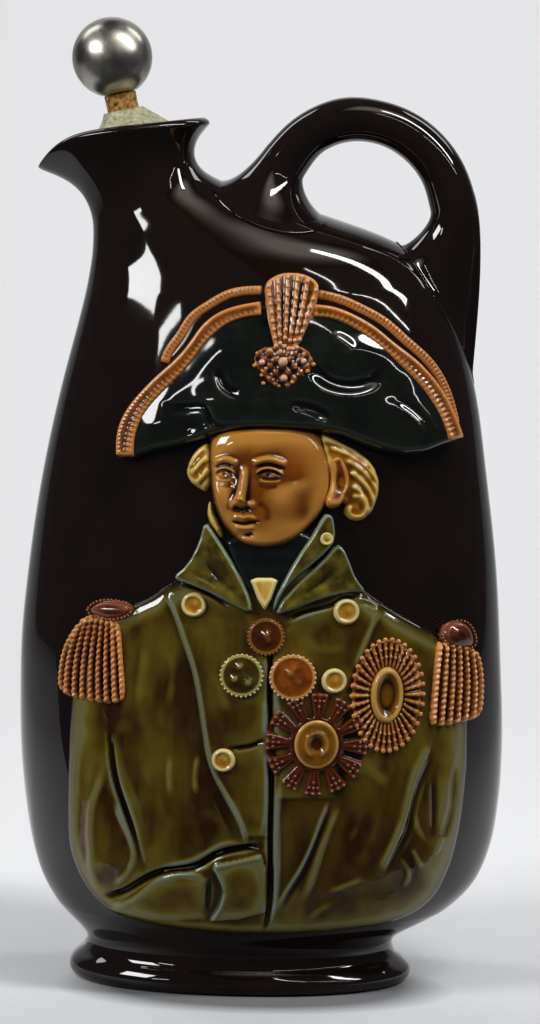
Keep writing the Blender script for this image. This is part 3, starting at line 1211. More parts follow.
FOLDS = (
    (((165, 590), (176, 614), (184, 637), (193, 664), (200, 696), (206, 736), (212, 764), (229, 799),
     (245, 834), (247, 848)), 1.0, 0.75, 1.2, 0.06),
    (((263.5, 700), (264, 738)), 0.45, 1.3, 0.7, 0.2),
    (((265, 752), (266, 785), (264, 821), (260, 838)), 0.5, 1.4, 0.7, 0.2),
    (((277, 690), (278, 736)), 0.5, 0.8, 1.6, 0.2),
    (((280, 780), (278, 820), (278, 860), (277, 887), (273, 915), (268, 928)), 0.75, 0.8, 1.7, 0.12),
    (((101, 704), (109, 732), (114, 772), (122, 797), (133, 826), (141, 856)), 0.5, 1.5, 0.7, 0.15),
    (((104, 758), (99, 783), (92, 806), (90, 846), (93, 879), (100, 900)), 0.55, 1.4, 1.6, 0.25),
    (((114, 800), (123, 823), (134, 852), (133, 862), (112, 888)), 0.5, 1.0, 1.3, 0.15),
    (((67, 706), (63, 763), (62, 838), (71, 871), (84, 896)), 0.35, 1.2, 1.2, 0.15),
    (((110, 907), (128, 902), (148, 888), (166, 878), (186, 875), (209, 878)), 0.75, 0.9, 1.7, 0.15),
    (((212, 866), (223, 884), (224, 895), (218, 912), (211, 922)), 0.7, 0.7, 0.8, 0.1),
    (((212, 866), (236, 861), (262, 855)), 0.5, 0.7, 1.2, 0.1),
    (((156, 867), (199, 858), (224, 845), (247, 844)), 0.4, 1.0, 1.0, 0.2),
    (((170, 752), (168, 775), (170, 799)), 0.5, 1.6, 0.9, 0.3),
    (((199, 750), (194, 775), (196, 799)), 0.5, 1.5, 0.9, 0.3),
    (((145, 640), (140, 680), (137, 715)), 0.3, 2.2, 1.8, 0.3),
    (((168, 640), (172, 676), (166, 712)), 0.25, 2.0, 2.2, 0.3),
    (((330, 798), (319, 825), (310, 850), (298, 873), (284, 895), (274, 914)), 0.7, 1.0, 0.7, 0.12),
    (((341, 801), (330, 829), (319, 860), (306, 896), (299, 907)), 0.5, 1.2, 2.2, 0.2),
    (((433, 738), (425, 757), (416, 778), (409, 806), (402, 829), (390, 856), (379, 877)),
     0.8, 0.8, 2.4, 0.12),
    (((428, 770), (419, 800), (416, 815), (428, 845)), 0.5, 1.0, 1.5, 0.2),
    (((445, 834), (433, 858)), 0.4, 1.0, 1.0, 0.3),
    (((412, 847), (422, 870)), 0.5, 0.9, 0.9, 0.25),
    (((399, 857), (409, 876), (402, 890)), 0.45, 1.0, 1.0, 0.25),
    (((473, 742), (473, 757), (468, 804), (461, 852), (449, 879)), 0.35, 1.2, 1.2, 0.15),
    (((325, 895), (346, 887), (367, 879)), 0.35, 1.3, 0.8, 0.3),
    (((305, 926), (330, 905), (352, 897)), 0.3, 1.6, 1.2, 0.3),
    (((340, 780), (365, 770), (390, 790)), 0.3, 2.4, 2.4, 0.3),
    (((366, 820), (356, 850), (338, 874)), 0.3, 2.2, 2.6, 0.3),
    (((382, 609), (376, 622), (366, 645), (356, 670)), 0.55, 0.8, 1.4, 0.15),
    (((284, 626), (306, 616), (332, 608)), 0.4, 1.2, 0.7, 0.2),
    (((352, 600), (370, 601), (382, 609)), 0.5, 0.8, 0.8, 0.12),
    (((370, 594), (400, 614), (432, 631)), 0.3, 1.0, 1.2, 0.15),
    (((133, 607), (150, 598), (165, 588)), 0.3, 1.0, 1.2, 0.15),
    (((205, 660), (222, 690), (228, 720)), 0.25, 2.0, 2.6, 0.3),
    (((300, 640), (330, 650), (350, 640)), 0.25, 2.4, 2.4, 0.3))
CUFF_EDGE = on_body(((212, 866), (262, 855), (266, 870), (266, 915), (240, 922), (208, 924), (217, 910),
    (223, 893)), 2.8)
FOREARM_EDGE = on_body(((108, 908), (128, 902), (148, 889), (166, 879), (209, 878), (207, 922), (150, 924),
    (112, 916)), 2.6)
LAPEL_EDGE = on_body(((165, 588), (184, 637), (193, 664), (200, 696), (206, 736), (212, 764), (229, 799),
    (246, 838), (268, 838), (268, 640), (240, 600)), 2.4)
RIGHT_LAPEL_EDGE = on_body(((273, 640), (300, 616), (346, 600), (382, 608), (376, 622), (357, 668),
    (345, 700), (336, 800), (278, 800)), 2.4)
gap_lines = [(line_on_body(spots), *rest) for spots, *rest in GAPS]
fold_lines = [(line_on_body(spots), *rest) for spots, *rest in FOLDS]
print("coat:", len(gap_lines), "gaps and", len(fold_lines), "folds, outline",
    (COAT_EDGE.max(axis=0) - COAT_EDGE.min(axis=0)).round(1), "mm")


# %% Coat
COAT_RISE, CHEST_SWELL, FOLD_SHARE = 1.55, 0.35, 0.78
LAYERS = ((LAPEL_EDGE, 0.28, 1.0), (RIGHT_LAPEL_EDGE, 0.28, 1.0), (FOREARM_EDGE, 0.55, 2.0),
    (CUFF_EDGE, 0.85, 1.1))


def coat_height(x, z):
    """Height of the coat over the body, in millimetres."""
    height = COAT_RISE + CHEST_SWELL * bump(x, z, CHEST, 42, 44)
    height = height + 0.09 * hand_waves(x, z, 14, 5) + 0.04 * hand_waves(x, z, 6, 8)
    height += fold(x, z, LEFT_SLEEVE, 0.55, 6.5, 6.5, 0.1) + fold(x, z, RIGHT_SLEEVE, 0.5, 6.0, 6.0, 0.1)
    for edge, rise, width in LAYERS:
        height += rise * rounded_edge(depth_inside(x, z, edge), width)
    for line, rise, left, right, taper in fold_lines:
        height += FOLD_SHARE * fold(x, z, line, rise, left, right, taper)
    for line, deep, left, right, taper in gap_lines:
        height -= fold(x, z, line, deep, left, right, taper)
    return plate(height, depth_inside(x, z, COAT_EDGE) + 0.25, 3.4)


coat_glaze = glazed("olive_green_glaze_on_coat", "#6f827a", "#4b3908", "#140a06", "#281104", 7.5,
    roughness=0.07, breaking="#726622", drawn_out=2.4, bloom="#6c5c1a", bloom_mm=11.0)
relief_piece("coat", COAT_EDGE, 0.36, coat_height, coat_glaze, edge_mm=0.7, pool_mm=1.0, edge_gain=3.2,
    pool_gain=2.8, rim_mm=3.6, broad_gain=2.0)

# %% [markdown]
# The standing collar has two tall flaps that fold outwards, and a second fold on the right. They stand
# proud of the coat, with a thick rolled rim that shows blue grey. Between them lie the black neck cloth and
# a small wedge of yellow shirt frill. Each is a plate of its own, so their edges stay crisp.

# %% Collar flaps and neck cloth
LEFT_FLAP = edge_on_body(((204, 519), (198, 542), (187, 564), (170, 578), (184, 583), (205, 591), (229, 604),
    (252, 615), (251, 600), (242, 580), (229, 556), (216, 536)), 4.0, 1)
RIGHT_FLAP = edge_on_body(((324, 515), (329, 513), (335, 517), (337, 540), (328, 552), (312, 566), (294, 580),
    (282, 594), (273, 615), (274, 600), (283, 582), (296, 559), (311, 537)), 4.2, 1)
RIGHT_FOLD = edge_on_body(((338, 543), (345, 548), (351, 562), (357, 578), (369, 593), (352, 592), (334, 596),
    (312, 603), (293, 611), (275, 616), (279, 603), (289, 592), (304, 577), (321, 562)), 3.6, 1)
NECK = edge_on_body(((220, 530), (330, 530), (300, 572), (268, 618), (236, 575)), 2.8, 1)
FRILL = on_body(((249, 580), (256, 577), (272, 577), (279, 580), (272, 600), (265, 612), (257, 600)), 3.2)
RIMS = [line_on_body(spots, 4.0) for spots in (
    ((205, 521), (217, 538), (230, 558), (242, 580), (250, 603)),
    ((204, 522), (197, 544), (186, 565), (172, 577)), ((172, 577), (196, 587), (222, 600)),
    ((325, 516), (311, 538), (297, 560), (284, 583), (276, 602)), ((326, 515), (335, 519), (336, 538)),
    ((340, 545), (350, 562), (357, 579), (367, 591)))]
CREASES = [line_on_body(spots, 4.0) for spots in (
    ((290, 598), (306, 578), (326, 556)), ((298, 600), (322, 582), (342, 566)),
    ((308, 603), (334, 590), (354, 582)), ((281, 606), (292, 588), (306, 566)),
    ((200, 556), (214, 574), (228, 592)), ((188, 572), (206, 580), (224, 592)))]
HOLLOW_REACH = 5.0


def collar_height(x, z, outline, low, high):
    """A flap of the collar: hollow in its middle, with rolled rims and a few creases."""
    depth = depth_inside(x, z, outline)
    height = low + (high - low) * (0.5 + 0.5 * np.cos(np.clip(depth / HOLLOW_REACH, 0, 1) * math.pi))
    for rim in RIMS:
        height += fold(x, z, rim, 0.26, 0.6, 0.7, 0.05)
    for crease in CREASES:
        height -= fold(x, z, crease, 0.28, 1.3, 0.9, 0.35)
    height += 0.12 * hand_waves(x, z, 9, 21)
    return plate(height, depth + 0.25, 0.9)


def neck_height(x, z):
    """The wound neck cloth, a little hollow under the chin."""
    wrap = 0.1 * np.sin(z * 1.6 + 0.12 * x) + 0.1 * hand_waves(x, z, 7, 3)
    return plate(2.2 + wrap, depth_inside(x, z, NECK) + 0.2, 1.2)


def frill_height(x, z):
    """The shirt frill's wedge, with a crease down its middle."""
    return plate(3.1 + 0.08 * np.cos(x * 2.2), depth_inside(x, z, FRILL) + 0.2, 0.8)


collar_glaze = glazed("olive_green_glaze_on_collar", "#7f9180", "#5e5316", "#120f08", "#2e240b", 4.0,
    breaking="#6a6327", bloom="#84752a", bloom_mm=7.0)
neck_glaze = glazed("black_glaze_on_neck_cloth", "#1c1f20", "#0f1112", "#08080a", "#141617", 5.0)
frill_glaze = glazed("straw_yellow_glaze_on_frill", "#e8d58c", "#c8932f", "#6e430f", "#d8b55a", 2.5)
relief_piece("neck_cloth", NECK, 0.35, neck_height, neck_glaze)
relief_piece("shirt_frill", FRILL, 0.25, frill_height, frill_glaze)
for name, outline, low, high in (("collar_flap_left", LEFT_FLAP, 3.3, 4.1),
        ("collar_fold_right", RIGHT_FOLD, 3.0, 3.7), ("collar_flap_right", RIGHT_FLAP, 3.7, 4.4)):
    relief_piece(name, outline, 0.30, lambda x, z: collar_height(x, z, outline, low, high), collar_glaze,
        edge_mm=0.35, edge_gain=2.4)

# %% [markdown]
# The head is turned a little to its left shoulder. It is an egg shape cut off by the body, with a calm,
# plain face on the proportions of a drawing book: from the chin, the base of the nose lies one third of
# the face up and the brow two thirds, the face is five eyes wide, and the mouth is a third of the way from
# nose to chin. The features are placed on the egg by their turn from the middle of the face.

# %% Face
HEAD_CENTRE = middle_on_body((266, 490), 4.0)
HEAD_HALF = np.array((14.2, 17.0))
HEAD_TURN = math.radians(20)
CHIN = HEAD_CENTRE[1] - 14.6
THIRD = 10.6
EYES, LIPS = 1.70 * THIRD, 0.66 * THIRD
EYE = 2 * HEAD_HALF[0] / 5
FACE_EDGE = edge_on_body(((207, 425), (206, 450), (208, 480), (213, 508), (224, 530), (243, 547), (266, 551),
    (290, 546), (313, 527), (330, 506), (337, 480), (341, 425)), 3.5)


def on_face(turn, up):
    """Where a spot of the face lies, by its turn in degrees from the middle and its height over the chin."""
    return HEAD_CENTRE[0] + HEAD_HALF[0] * math.sin(math.radians(turn) - HEAD_TURN), CHIN + up


def face_line(level, *spots, side=1):
    """A line on the face through spots of (turn in degrees, height above a level)."""
    return smooth_line(np.array([on_face(turn * side, level + up) for turn, up in spots]), 24)


NOSE_LINE = face_line(0.0, (0, 1.96 * THIRD), (-1, 1.6 * THIRD), (-3, 1.28 * THIRD), (-5, 1.10 * THIRD))
EYE_LINES = (
    (((6, 2.3), (22, 3.5), (40, 2.2)), 0.75, 1.5, 1.0),
    (((9, 1.75), (23, 2.3), (39, 1.2)), -0.45, 0.6, 0.5),
    (((9, -0.2), (16, 1.25), (27, 1.3), (38, -0.3)), 0.50, 0.5, 0.35),
    (((10, -0.3), (17, 0.75), (27, 0.75), (36, -0.4)), -0.70, 0.4, 0.35),
    (((13, -0.75), (22, -1.05), (33, -0.8)), -0.30, 0.35, 0.3),
    (((12, -1.1), (22, -1.5), (35, -1.1)), 0.34, 0.45, 0.7),
    (((11, -2.3), (20, -2.9), (32, -2.6)), -0.18, 0.8, 0.8))
LIP_LINES = (
    (((-15, 0.15), (-6, -0.05), (-1, -0.25), (4, -0.05), (16, 0.15)), -0.62, 0.42, 0.42),
    (((-12, 0.7), (-4, 1.15), (-1, 0.95), (2, 1.15), (13, 0.7)), 0.48, 0.8, 0.55),
    (((-10, -0.9), (-1, -1.35), (11, -0.9)), 0.62, 0.8, 0.8),
    (((-9, -2.6), (0, -3.0), (10, -2.6)), -0.42, 0.9, 0.9))
CHEEK_LINES = (
    (((-12, 1.12 * THIRD), (-19, 0.92 * THIRD), (-20, 0.66 * THIRD)), -0.14, 1.2, 1.0),
    (((12, 1.12 * THIRD), (21, 0.92 * THIRD), (22, 0.66 * THIRD)), -0.16, 1.2, 1.4),
    (((-1, 0.98 * THIRD), (-1, LIPS + 1.7)), -0.14, 0.6, 0.6))
features = [(face_line(EYES, *spots, side=side), *rest) for side in (-1, 1) for spots, *rest in EYE_LINES]
for level, lines in ((LIPS, LIP_LINES), (0.0, CHEEK_LINES)):
    features += [(face_line(level, *spots), *rest) for spots, *rest in lines]
MASSES = (
    (23, 1.68, 2.7, 1.7, -0.95), (23, 1.69, 1.65, 1.15, 0.85), (22, 1.70, 0.55, 0.5, -0.5),
    (36, 1.20, 3.4, 3.0, 0.75), (9, 1.06, 0.85, 0.8, 0.75), (6, 0.97, 0.5, 0.38, -0.7),
    (30, 0.62, 3.0, 2.6, 0.25), (48, 1.75, 2.2, 2.6, -0.15), (16, 2.45, 4.0, 3.0, 0.3))
print("head", HEAD_CENTRE.round(1), "chin", round(CHIN, 1), "eye", round(EYE, 1),
    "mm, face lines", len(features))


def nose_height(x, z):
    """A nose: a narrow bridge that widens and rises down to a round tip."""
    off, side, along = along_line(x, z, NOSE_LINE, 3.0)
    half = np.where(side > 0, 1.15, 1.35) + 0.75 * along
    ends = eased(along / 0.3) * eased((1 - along) / 0.06)
    return (0.55 + 0.85 * along) * (0.5 + 0.5 * np.cos(math.pi * np.clip(off / half, 0, 1))) * ends


def face_height(x, z):
    """Height of the face over the body."""
    centre = HEAD_CENTRE + (0, 1.5)
    egg = 1 - ((x - centre[0]) / (HEAD_HALF[0] + 0.6)) ** 2 - ((z - centre[1]) / (HEAD_HALF[1] + 1.5)) ** 2
    height = 1.6 + 3.5 * np.clip(egg, 0, 1) ** 0.62 + nose_height(x, z)
    for turn, thirds, half_x, half_z, rise in MASSES:
        for side in (-1, 1):
            middle = -2 if thirds < 1.1 and turn < 12 else 0
            height += rise * bump(x, z, on_face(turn * side + middle, thirds * THIRD), half_x, half_z)
    height += 0.85 * bump(x, z, on_face(-5.5, 1.09 * THIRD), 1.25, 1.05)
    height -= 0.50 * bump(x, z, on_face(-2, 0.93 * THIRD), 1.9, 0.5)
    height += 0.75 * bump(x, z, on_face(0, 2.0), 2.7, 1.6)
    height -= 0.85 * bump(x, z, on_face(62, 0.75 * THIRD), 3.0, 4.5, 0.2)
    height += 0.35 * bump(x, z, on_face(50, 1.45 * THIRD), 3.0, 1.5, 0.3)
    for line, rise, left, right in features:
        height += fold(x, z, line, rise, left, right, 0.2)
    return plate(height, depth_inside(x, z, FACE_EDGE) + 0.3, 2.2)


face_glaze = glazed("ochre_brown_glaze_on_face", "#c4893c", "#7e420a", "#1a0a04", "#5c2a06", 6.0,
    roughness=0.06, wave=0.02)
relief_piece("head", FACE_EDGE, 0.18, face_height, face_glaze, edge_mm=0.5, pool_mm=0.8, edge_gain=3.4,
    pool_gain=6.5, rim_mm=1.6, broad_gain=1.1)

# %% [markdown]
# Long hair is tied behind, and a curled lock hangs before each shoulder. The ear stands free in front of it.
# Hair is a swelling with strands drawn along it, each strand a small ridge, in a straw yellow glaze that
# pools amber between the strands.

# %% Hair and ear
HAIR_LEFT = edge_on_body(((209, 440), (197, 447), (188, 459), (184, 471), (188, 481), (197, 488), (206, 492),
    (212, 478)), 3.0)
LOCK_LEFT = edge_on_body(((209, 499), (213, 511), (218, 520), (222, 530), (222, 540), (213, 531), (206, 518),
    (206, 507)), 3.0)
HAIR_RIGHT = edge_on_body(((318, 430), (334, 436), (348, 444), (362, 451), (375, 462), (382, 476), (383, 490),
    (379, 503), (374, 514), (364, 521), (353, 520), (345, 513), (346, 503), (336, 500), (330, 480)), 3.4)
EAR = edge_on_body(((331, 462), (334, 457), (340, 455), (345, 460), (350, 471), (352, 482), (348, 495),
    (344, 504), (336, 509), (328, 507), (325, 500), (330, 490), (332, 478)), 4.4)
EAR_RIM = line_on_body(((334, 462), (341, 458), (347, 468), (350, 482), (345, 495)), 4.4)
EAR_HOLLOW, EAR_LOBE = on_body(((342, 482), (335, 502)), 4.4)
STRANDS_RIGHT = [line_on_body(spots, 3.4) for spots in (
    ((322, 436), (345, 446), (364, 457), (379, 473)), ((330, 446), (352, 456), (368, 468), (382, 483)),
    ((345, 458), (360, 468), (372, 480), (381, 494)), ((350, 470), (362, 480), (371, 491), (377, 506)),
    ((352, 484), (362, 493), (368, 503), (370, 515)),
    ((350, 497), (358, 496), (366, 504), (363, 517), (353, 517), (349, 509), (356, 506)))]
STRANDS_LEFT = [line_on_body(spots, 3.0) for spots in (
    ((206, 446), (196, 452), (188, 466)), ((208, 456), (199, 464), (190, 474)),
    ((208, 468), (202, 476), (195, 484)), ((208, 500), (211, 514), (220, 532)))]


def hair_height(x, z, outline, rise, strands):
    """A lock of hair, swelling in its middle, with strands along it."""
    depth = depth_inside(x, z, outline)
    height = rise + 0.9 * eased(depth / 5.0) + 0.12 * hand_waves(x, z, 3, 14)
    for strand in strands:
        height += fold(x, z, strand, 0.7, 0.95, 1.1, 0.12)
    return plate(height, depth + 0.3, 1.6)


def ear_height(x, z):
    """An ear: a raised rim round a deep hollow, and a round lobe."""
    height = 3.6 + fold(x, z, EAR_RIM, 0.9, 0.9, 0.9, 0.1) - 1.7 * bump(x, z, EAR_HOLLOW, 1.2, 2.0, 0.2)
    height += 0.6 * bump(x, z, EAR_LOBE, 1.5, 1.3)
    return plate(height, depth_inside(x, z, EAR) + 0.2, 1.0)


hair_glaze = glazed("straw_yellow_glaze_on_hair", "#e6c568", "#98600c", "#341803", "#744208", 3.0)
for name, outline, rise, strands in (
        ("hair_right", HAIR_RIGHT, 2.0, STRANDS_RIGHT), ("hair_left", HAIR_LEFT, 1.8, STRANDS_LEFT),
        ("lock_left", LOCK_LEFT, 1.6, STRANDS_LEFT)):
    relief_piece(name, outline, 0.25, lambda x, z: hair_height(x, z, outline, rise, strands),
        hair_glaze, edge_gain=4.0)
relief_piece("ear", EAR, 0.22, ear_height, face_glaze, edge_gain=4.5, pool_gain=3.6)

# %% [markdown]
# The cocked hat is worn across the head, its front brim turned up to a high arch. The brim swells and dips
# where the felt was pressed, which is what bends the lamps' reflections in its glaze. Behind it the crown
# and the back brim show as a narrow dark band, with a cord of braid on its edge.

# %% Hat
BRIM_TOP = ((131, 459), (117, 457), (117, 432), (127, 408), (140, 391), (156, 375), (174, 359), (190, 340),
    (202, 324), (220, 311), (238, 305), (259, 301), (290, 299), (314, 304), (331, 306), (354, 314),
    (377, 327), (396, 343), (416, 359), (436, 382), (451, 411), (460, 441))
BRIM_FOOT = ((444, 446), (424, 454), (402, 456), (379, 451), (342, 436), (316, 431), (294, 430), (270, 429),
    (245, 429), (216, 434), (197, 441), (173, 448), (150, 452))
BRIM_EDGE = on_body(BRIM_TOP + BRIM_FOOT, 3.6)
BACK_EDGE = on_body(((164, 372), (166, 354), (178, 338), (189, 319), (206, 303), (229, 291), (256, 287),
    (290, 284), (322, 292), (341, 296), (364, 306), (387, 319), (409, 339), (430, 357), (444, 376),
    (456, 406), (462, 440), (452, 441), (420, 380), (380, 340), (330, 320), (260, 314), (210, 330)), 2.2)
SWELLINGS = ((215, 400, 17, 13, 0.6), (160, 430, 16, 12, 0.55), (330, 395, 30, 13, 0.8),
    (362, 352, 26, 15, 0.9), (430, 425, 16, 20, 0.5), (235, 350, 18, 18, 0.6), (285, 415, 60, 14, 0.5))
DIPS = ((188, 425, 12, 16, 0.6), (268, 385, 24, 12, 0.5), (325, 372, 14, 7, 0.5), (392, 392, 14, 12, 0.6))
swells = [
    (middle_on_body((px, py), 3.6), half_x * PIXEL, half_z * PIXEL, way * rise)
    for way, table in ((1, SWELLINGS), (-1, DIPS)) for px, py, half_x, half_z, rise in table]
BRIM_HIGHEST = BRIM_EDGE[:, 1].max()
LEAN, LEFT_LEAN_LOST = 0.075, 0.75
SWELL_SHARE, CREASE_SHARE = 0.8, 1.5
CREASES_IN_FELT = [(line_on_body(spots, 4.2), *rest) for spots, *rest in (
    (((312, 362), (322, 375), (340, 384), (362, 383), (386, 368)), -0.72, 1.4, 3.0),
    (((216, 366), (221, 385), (240, 398)), -0.6, 2.4, 0.9),
    (((158, 405), (190, 406), (206, 408), (212, 421), (246, 424)), -0.45, 1.1, 2.0),
    (((286, 404), (312, 408), (334, 420)), -0.5, 1.3, 2.4),
    (((330, 336), (345, 345), (352, 358)), 0.3, 2.4, 2.4),
    (((395, 398), (415, 412), (432, 436)), -0.25, 1.6, 1.6))]
FOOT_ROLL = line_on_body(((136, 455), (173, 443), (216, 428), (245, 423), (270, 423), (316, 425), (342, 430),
    (379, 445), (402, 450), (424, 448), (448, 440)), 4.2)


def lean(x, z):
    """How far the brim leans forward below its top; its left corner leans less."""
    return LEAN * (BRIM_HIGHEST - z) * (1 - LEFT_LEAN_LOST * eased((-x - 5) / 16))


def hat_height(x, z):
    """Height of the hat's front brim."""
    height = 2.5 + 0.7 * eased(depth_inside(x, z, BRIM_EDGE) / 7) + lean(x, z)
    for centre, half_x, half_z, rise in swells:
        height += SWELL_SHARE * rise * bump(x, z, centre, half_x, half_z)
    for line, rise, left, right in CREASES_IN_FELT:
        height += CREASE_SHARE * fold(x, z, line, rise, left, right, 0.25)
    height += fold(x, z, FOOT_ROLL, 0.35, 2.6, 2.2, 0.06)
    return plate(height, depth_inside(x, z, BRIM_EDGE) + 0.25, 1.6)


def back_height(x, z):
    """Height of the back brim and crown behind the front brim."""
    return plate(1.6, depth_inside(x, z, BACK_EDGE) + 0.25, 1.6)


hat_glaze = glazed("green_black_glaze_on_hat", "#262d27", "#0f120f", "#080a08", "#181b14", 8.0,
    roughness=0.05, wave=0.02)
relief_piece("hat_back", BACK_EDGE, 0.40, back_height, treacle_glaze)
relief_piece("hat_front", BRIM_EDGE, 0.36, hat_height, hat_glaze)

# %% [markdown]
# Gold braid edges the hat: a smooth ridge with a ribbed one inside it, and one more ribbed cord on the back
# brim. A strap, or loop, of six rows of beads comes down from the top to a rosette. The ridges and their
# ribs are drawn as heights. The beads are one small ball, copied along the lines and joined to one piece.

# %% Rows of beads, and braid
BEAD_SEGMENTS, BEAD_RINGS, BEAD_THIN = 8, 5, 0.75


def bead_piece(name, spots, heights, sizes, finish, flatness=0.7):
    """Copies of one bead on the body at these (x, z) spots, joined to one piece."""
    spots, sizes = np.asarray(spots, float), np.broadcast_to(sizes, len(spots))
    heights = np.broadcast_to(heights, len(spots))
    outward = out_of_front(*spots.T)
    seats = front_of_body(*spots.T) + heights[:, None] * outward
    select_only()
    bpy.ops.mesh.primitive_uv_sphere_add(segments=BEAD_SEGMENTS, ring_count=BEAD_RINGS, radius=1.0)
    bead = bpy.context.object
    copies = []
    for seat, out, size in zip(seats, outward, sizes):
        one = bead.copy()
        one.data = bead.data.copy()
        bpy.context.collection.objects.link(one)
        facing = Vector(out).to_track_quat("Z", "Y").to_matrix().to_4x4()
        one.matrix_world = (Matrix.Translation(Vector(seat * MM)) @ facing
            @ Matrix.Diagonal((size * MM, size * MM, size * flatness * MM, 1.0)))
        copies.append(one)
    bpy.data.objects.remove(bead)
    select_only(*copies)
    bpy.ops.object.join()
    piece = bpy.context.object
    piece.name = piece.data.name = name
    bpy.ops.object.transform_apply(location=True, rotation=True, scale=True)
    bpy.ops.object.shade_smooth()
    store(piece, "thin", np.full(len(piece.data.vertices), BEAD_THIN))
    store(piece, "pooled", np.zeros(len(piece.data.vertices)))
    piece.data.materials.append(finish)
    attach(piece, "root")
    print(name, len(spots), "beads, faces:", len(piece.data.polygons))


def spaced(line, step, start=0.5):
    """Spots at even steps along a line."""
    lengths = np.concatenate([[0], np.cumsum(np.linalg.norm(np.diff(line, axis=0), axis=1))])
    places = np.arange(start * step, lengths[-1], step)
    return np.stack([np.interp(places, lengths, line[:, 0]), np.interp(places, lengths, line[:, 1])], 1)


def band_between(upper, lower):
    """A closed outline from two lines that run the same way."""
    return np.concatenate([upper, lower[::-1]])


OUTER_LEFT = line_on_body(((118, 456), (119, 432), (129, 409), (142, 393), (158, 377), (176, 361), (192, 342),
    (204, 326), (222, 313), (240, 307), (262, 303)), 4.2)
INNER_LEFT = line_on_body(((130, 456), (133, 434), (142, 412), (154, 397), (172, 379), (187, 363), (199, 347),
    (212, 333), (227, 322), (243, 316), (262, 313)), 4.2)
OUTER_RIGHT = line_on_body(((312, 306), (331, 308), (353, 316), (375, 329), (394, 345), (414, 361),
    (434, 384), (449, 412), (458, 440)), 4.2)
INNER_RIGHT = line_on_body(((312, 315), (330, 316), (350, 323), (369, 335), (388, 351), (407, 369),
    (426, 391), (439, 415), (448, 441)), 4.2)
CORD_LEFT = line_on_body(((163, 362), (168, 350), (179, 335), (191, 317), (207, 305), (229, 293), (262, 289)),
    2.6)
CORD_RIGHT = line_on_body(((318, 293), (340, 298), (363, 308), (386, 321), (408, 340), (428, 358), (442, 377),
    (453, 404), (458, 424)), 2.6)
BRAIDS = {"braid_left": (OUTER_LEFT, INNER_LEFT), "braid_right": (OUTER_RIGHT, INNER_RIGHT)}
CORDS = {"cord_left": CORD_LEFT, "cord_right": CORD_RIGHT}
BRAID_FOOT, CORD_FOOT = 3.55, 2.3


def widened(line, outwards):
    """A line moved sideways by some millimetres."""
    run = np.gradient(line, axis=0)
    side = np.stack([-run[:, 1], run[:, 0]], 1) / np.linalg.norm(run, axis=1)[:, None]
    return line + outwards * side


def ribbed(x, z, line, rise, half, rib, deep=0.32, slant=0.0):
    """A round ridge along a line, pressed into short ribs."""
    off, side, along = along_line(x, z, line, half)
    length = np.linalg.norm(np.diff(line, axis=0), axis=1).sum()
    ribs = 0.5 + 0.5 * np.cos(2 * math.pi * (along * length / rib + slant * side * off))
    return rise * np.sqrt(np.clip(1 - (off / half) ** 2, 0, 1)) * (1 - deep + deep * ribs)


braid_glaze = glazed("golden_brown_glaze_on_braid", "#d08c4c", "#8a4610", "#1c0a03", "#5e3a0c", 3.0)
bead_glaze = glazed("pale_brown_glaze_on_beads", "#c98a4e", "#9c5a22", "#5a260c", "#b06c38",
    3.0, roughness=0.09)


def braid_piece(name, outline, above_buried):
    """A band of braid in relief, from its height over the level that its edge is buried to."""
    def raised(x, z):
        return -BURIED + above_buried(x, z) * rounded_edge(depth_inside(x, z, outline) + 0.2, 0.7)

    relief_piece(name, outline, 0.2, raised, braid_glaze, edge_gain=1.9, pool_gain=4.5, pool_mm=0.8)


for name, (outer, inner) in BRAIDS.items():
    outline = band_between(widened(outer, 0.9), widened(inner, -0.6))
    outer, inner = widened(outer, -0.2), widened(inner, 0.65)
    braid_piece(name, outline, lambda x, z: BRAID_FOOT + lean(x, z) + np.maximum(
        ribbed(x, z, outer, 1.0, 1.25, 0.95, 0.14, 0.5), ribbed(x, z, inner, 0.95, 1.3, 1.2)))
for name, line in CORDS.items():
    outline = band_between(widened(line, 1.25), widened(line, -1.25))
    braid_piece(name, outline, lambda x, z: CORD_FOOT + ribbed(x, z, line, 1.0, 1.2, 0.95))

# %% Strap and rosette
STRAP = edge_on_body(((264, 281), (270, 275), (280, 270), (291, 269), (303, 270), (313, 274), (321, 281),
    (320, 297), (313, 318), (303, 342), (291, 358), (279, 358), (272, 346), (267, 325), (265, 301)), 4.8)
STRAP_ROWS = [
    line_on_body(((top, 274 + 0.016 * (top - 292) ** 2), (top * 0.72 + foot * 0.28, 304), (foot, 354)), 4.8)
    for top, foot in zip(np.linspace(268, 318, 6), np.linspace(277, 295, 6))]
ROSETTE = edge_on_body(((252, 352), (262, 345), (284, 342), (306, 345), (315, 355), (316, 366), (309, 378),
    (299, 388), (286, 393), (272, 388), (262, 379), (251, 366)), 4.6)
ROSETTE_CENTRE = middle_on_body((283, 362), 5.4)
ROSETTE_BEADS, BEAD_TURN = 24, 2.4


def strap_height(x, z):
    """The loop's ribs, one under each row of beads."""
    height = 4.0 + sum(fold(x, z, row, 0.7, 0.95, 0.95, 0.0) for row in STRAP_ROWS)
    return plate(height, depth_inside(x, z, STRAP) + 0.2, 0.9)


def rosette_height(x, z):
    """A gathered rosette, lumpy all over."""
    lumps = 0.45 * np.sin(x * 2.3 + 0.5) * np.sin(z * 2.1)
    height = 4.2 + 0.9 * bump(x, z, ROSETTE_CENTRE, 5.5, 4.5) + lumps
    return plate(height, depth_inside(x, z, ROSETTE) + 0.2, 1.0)


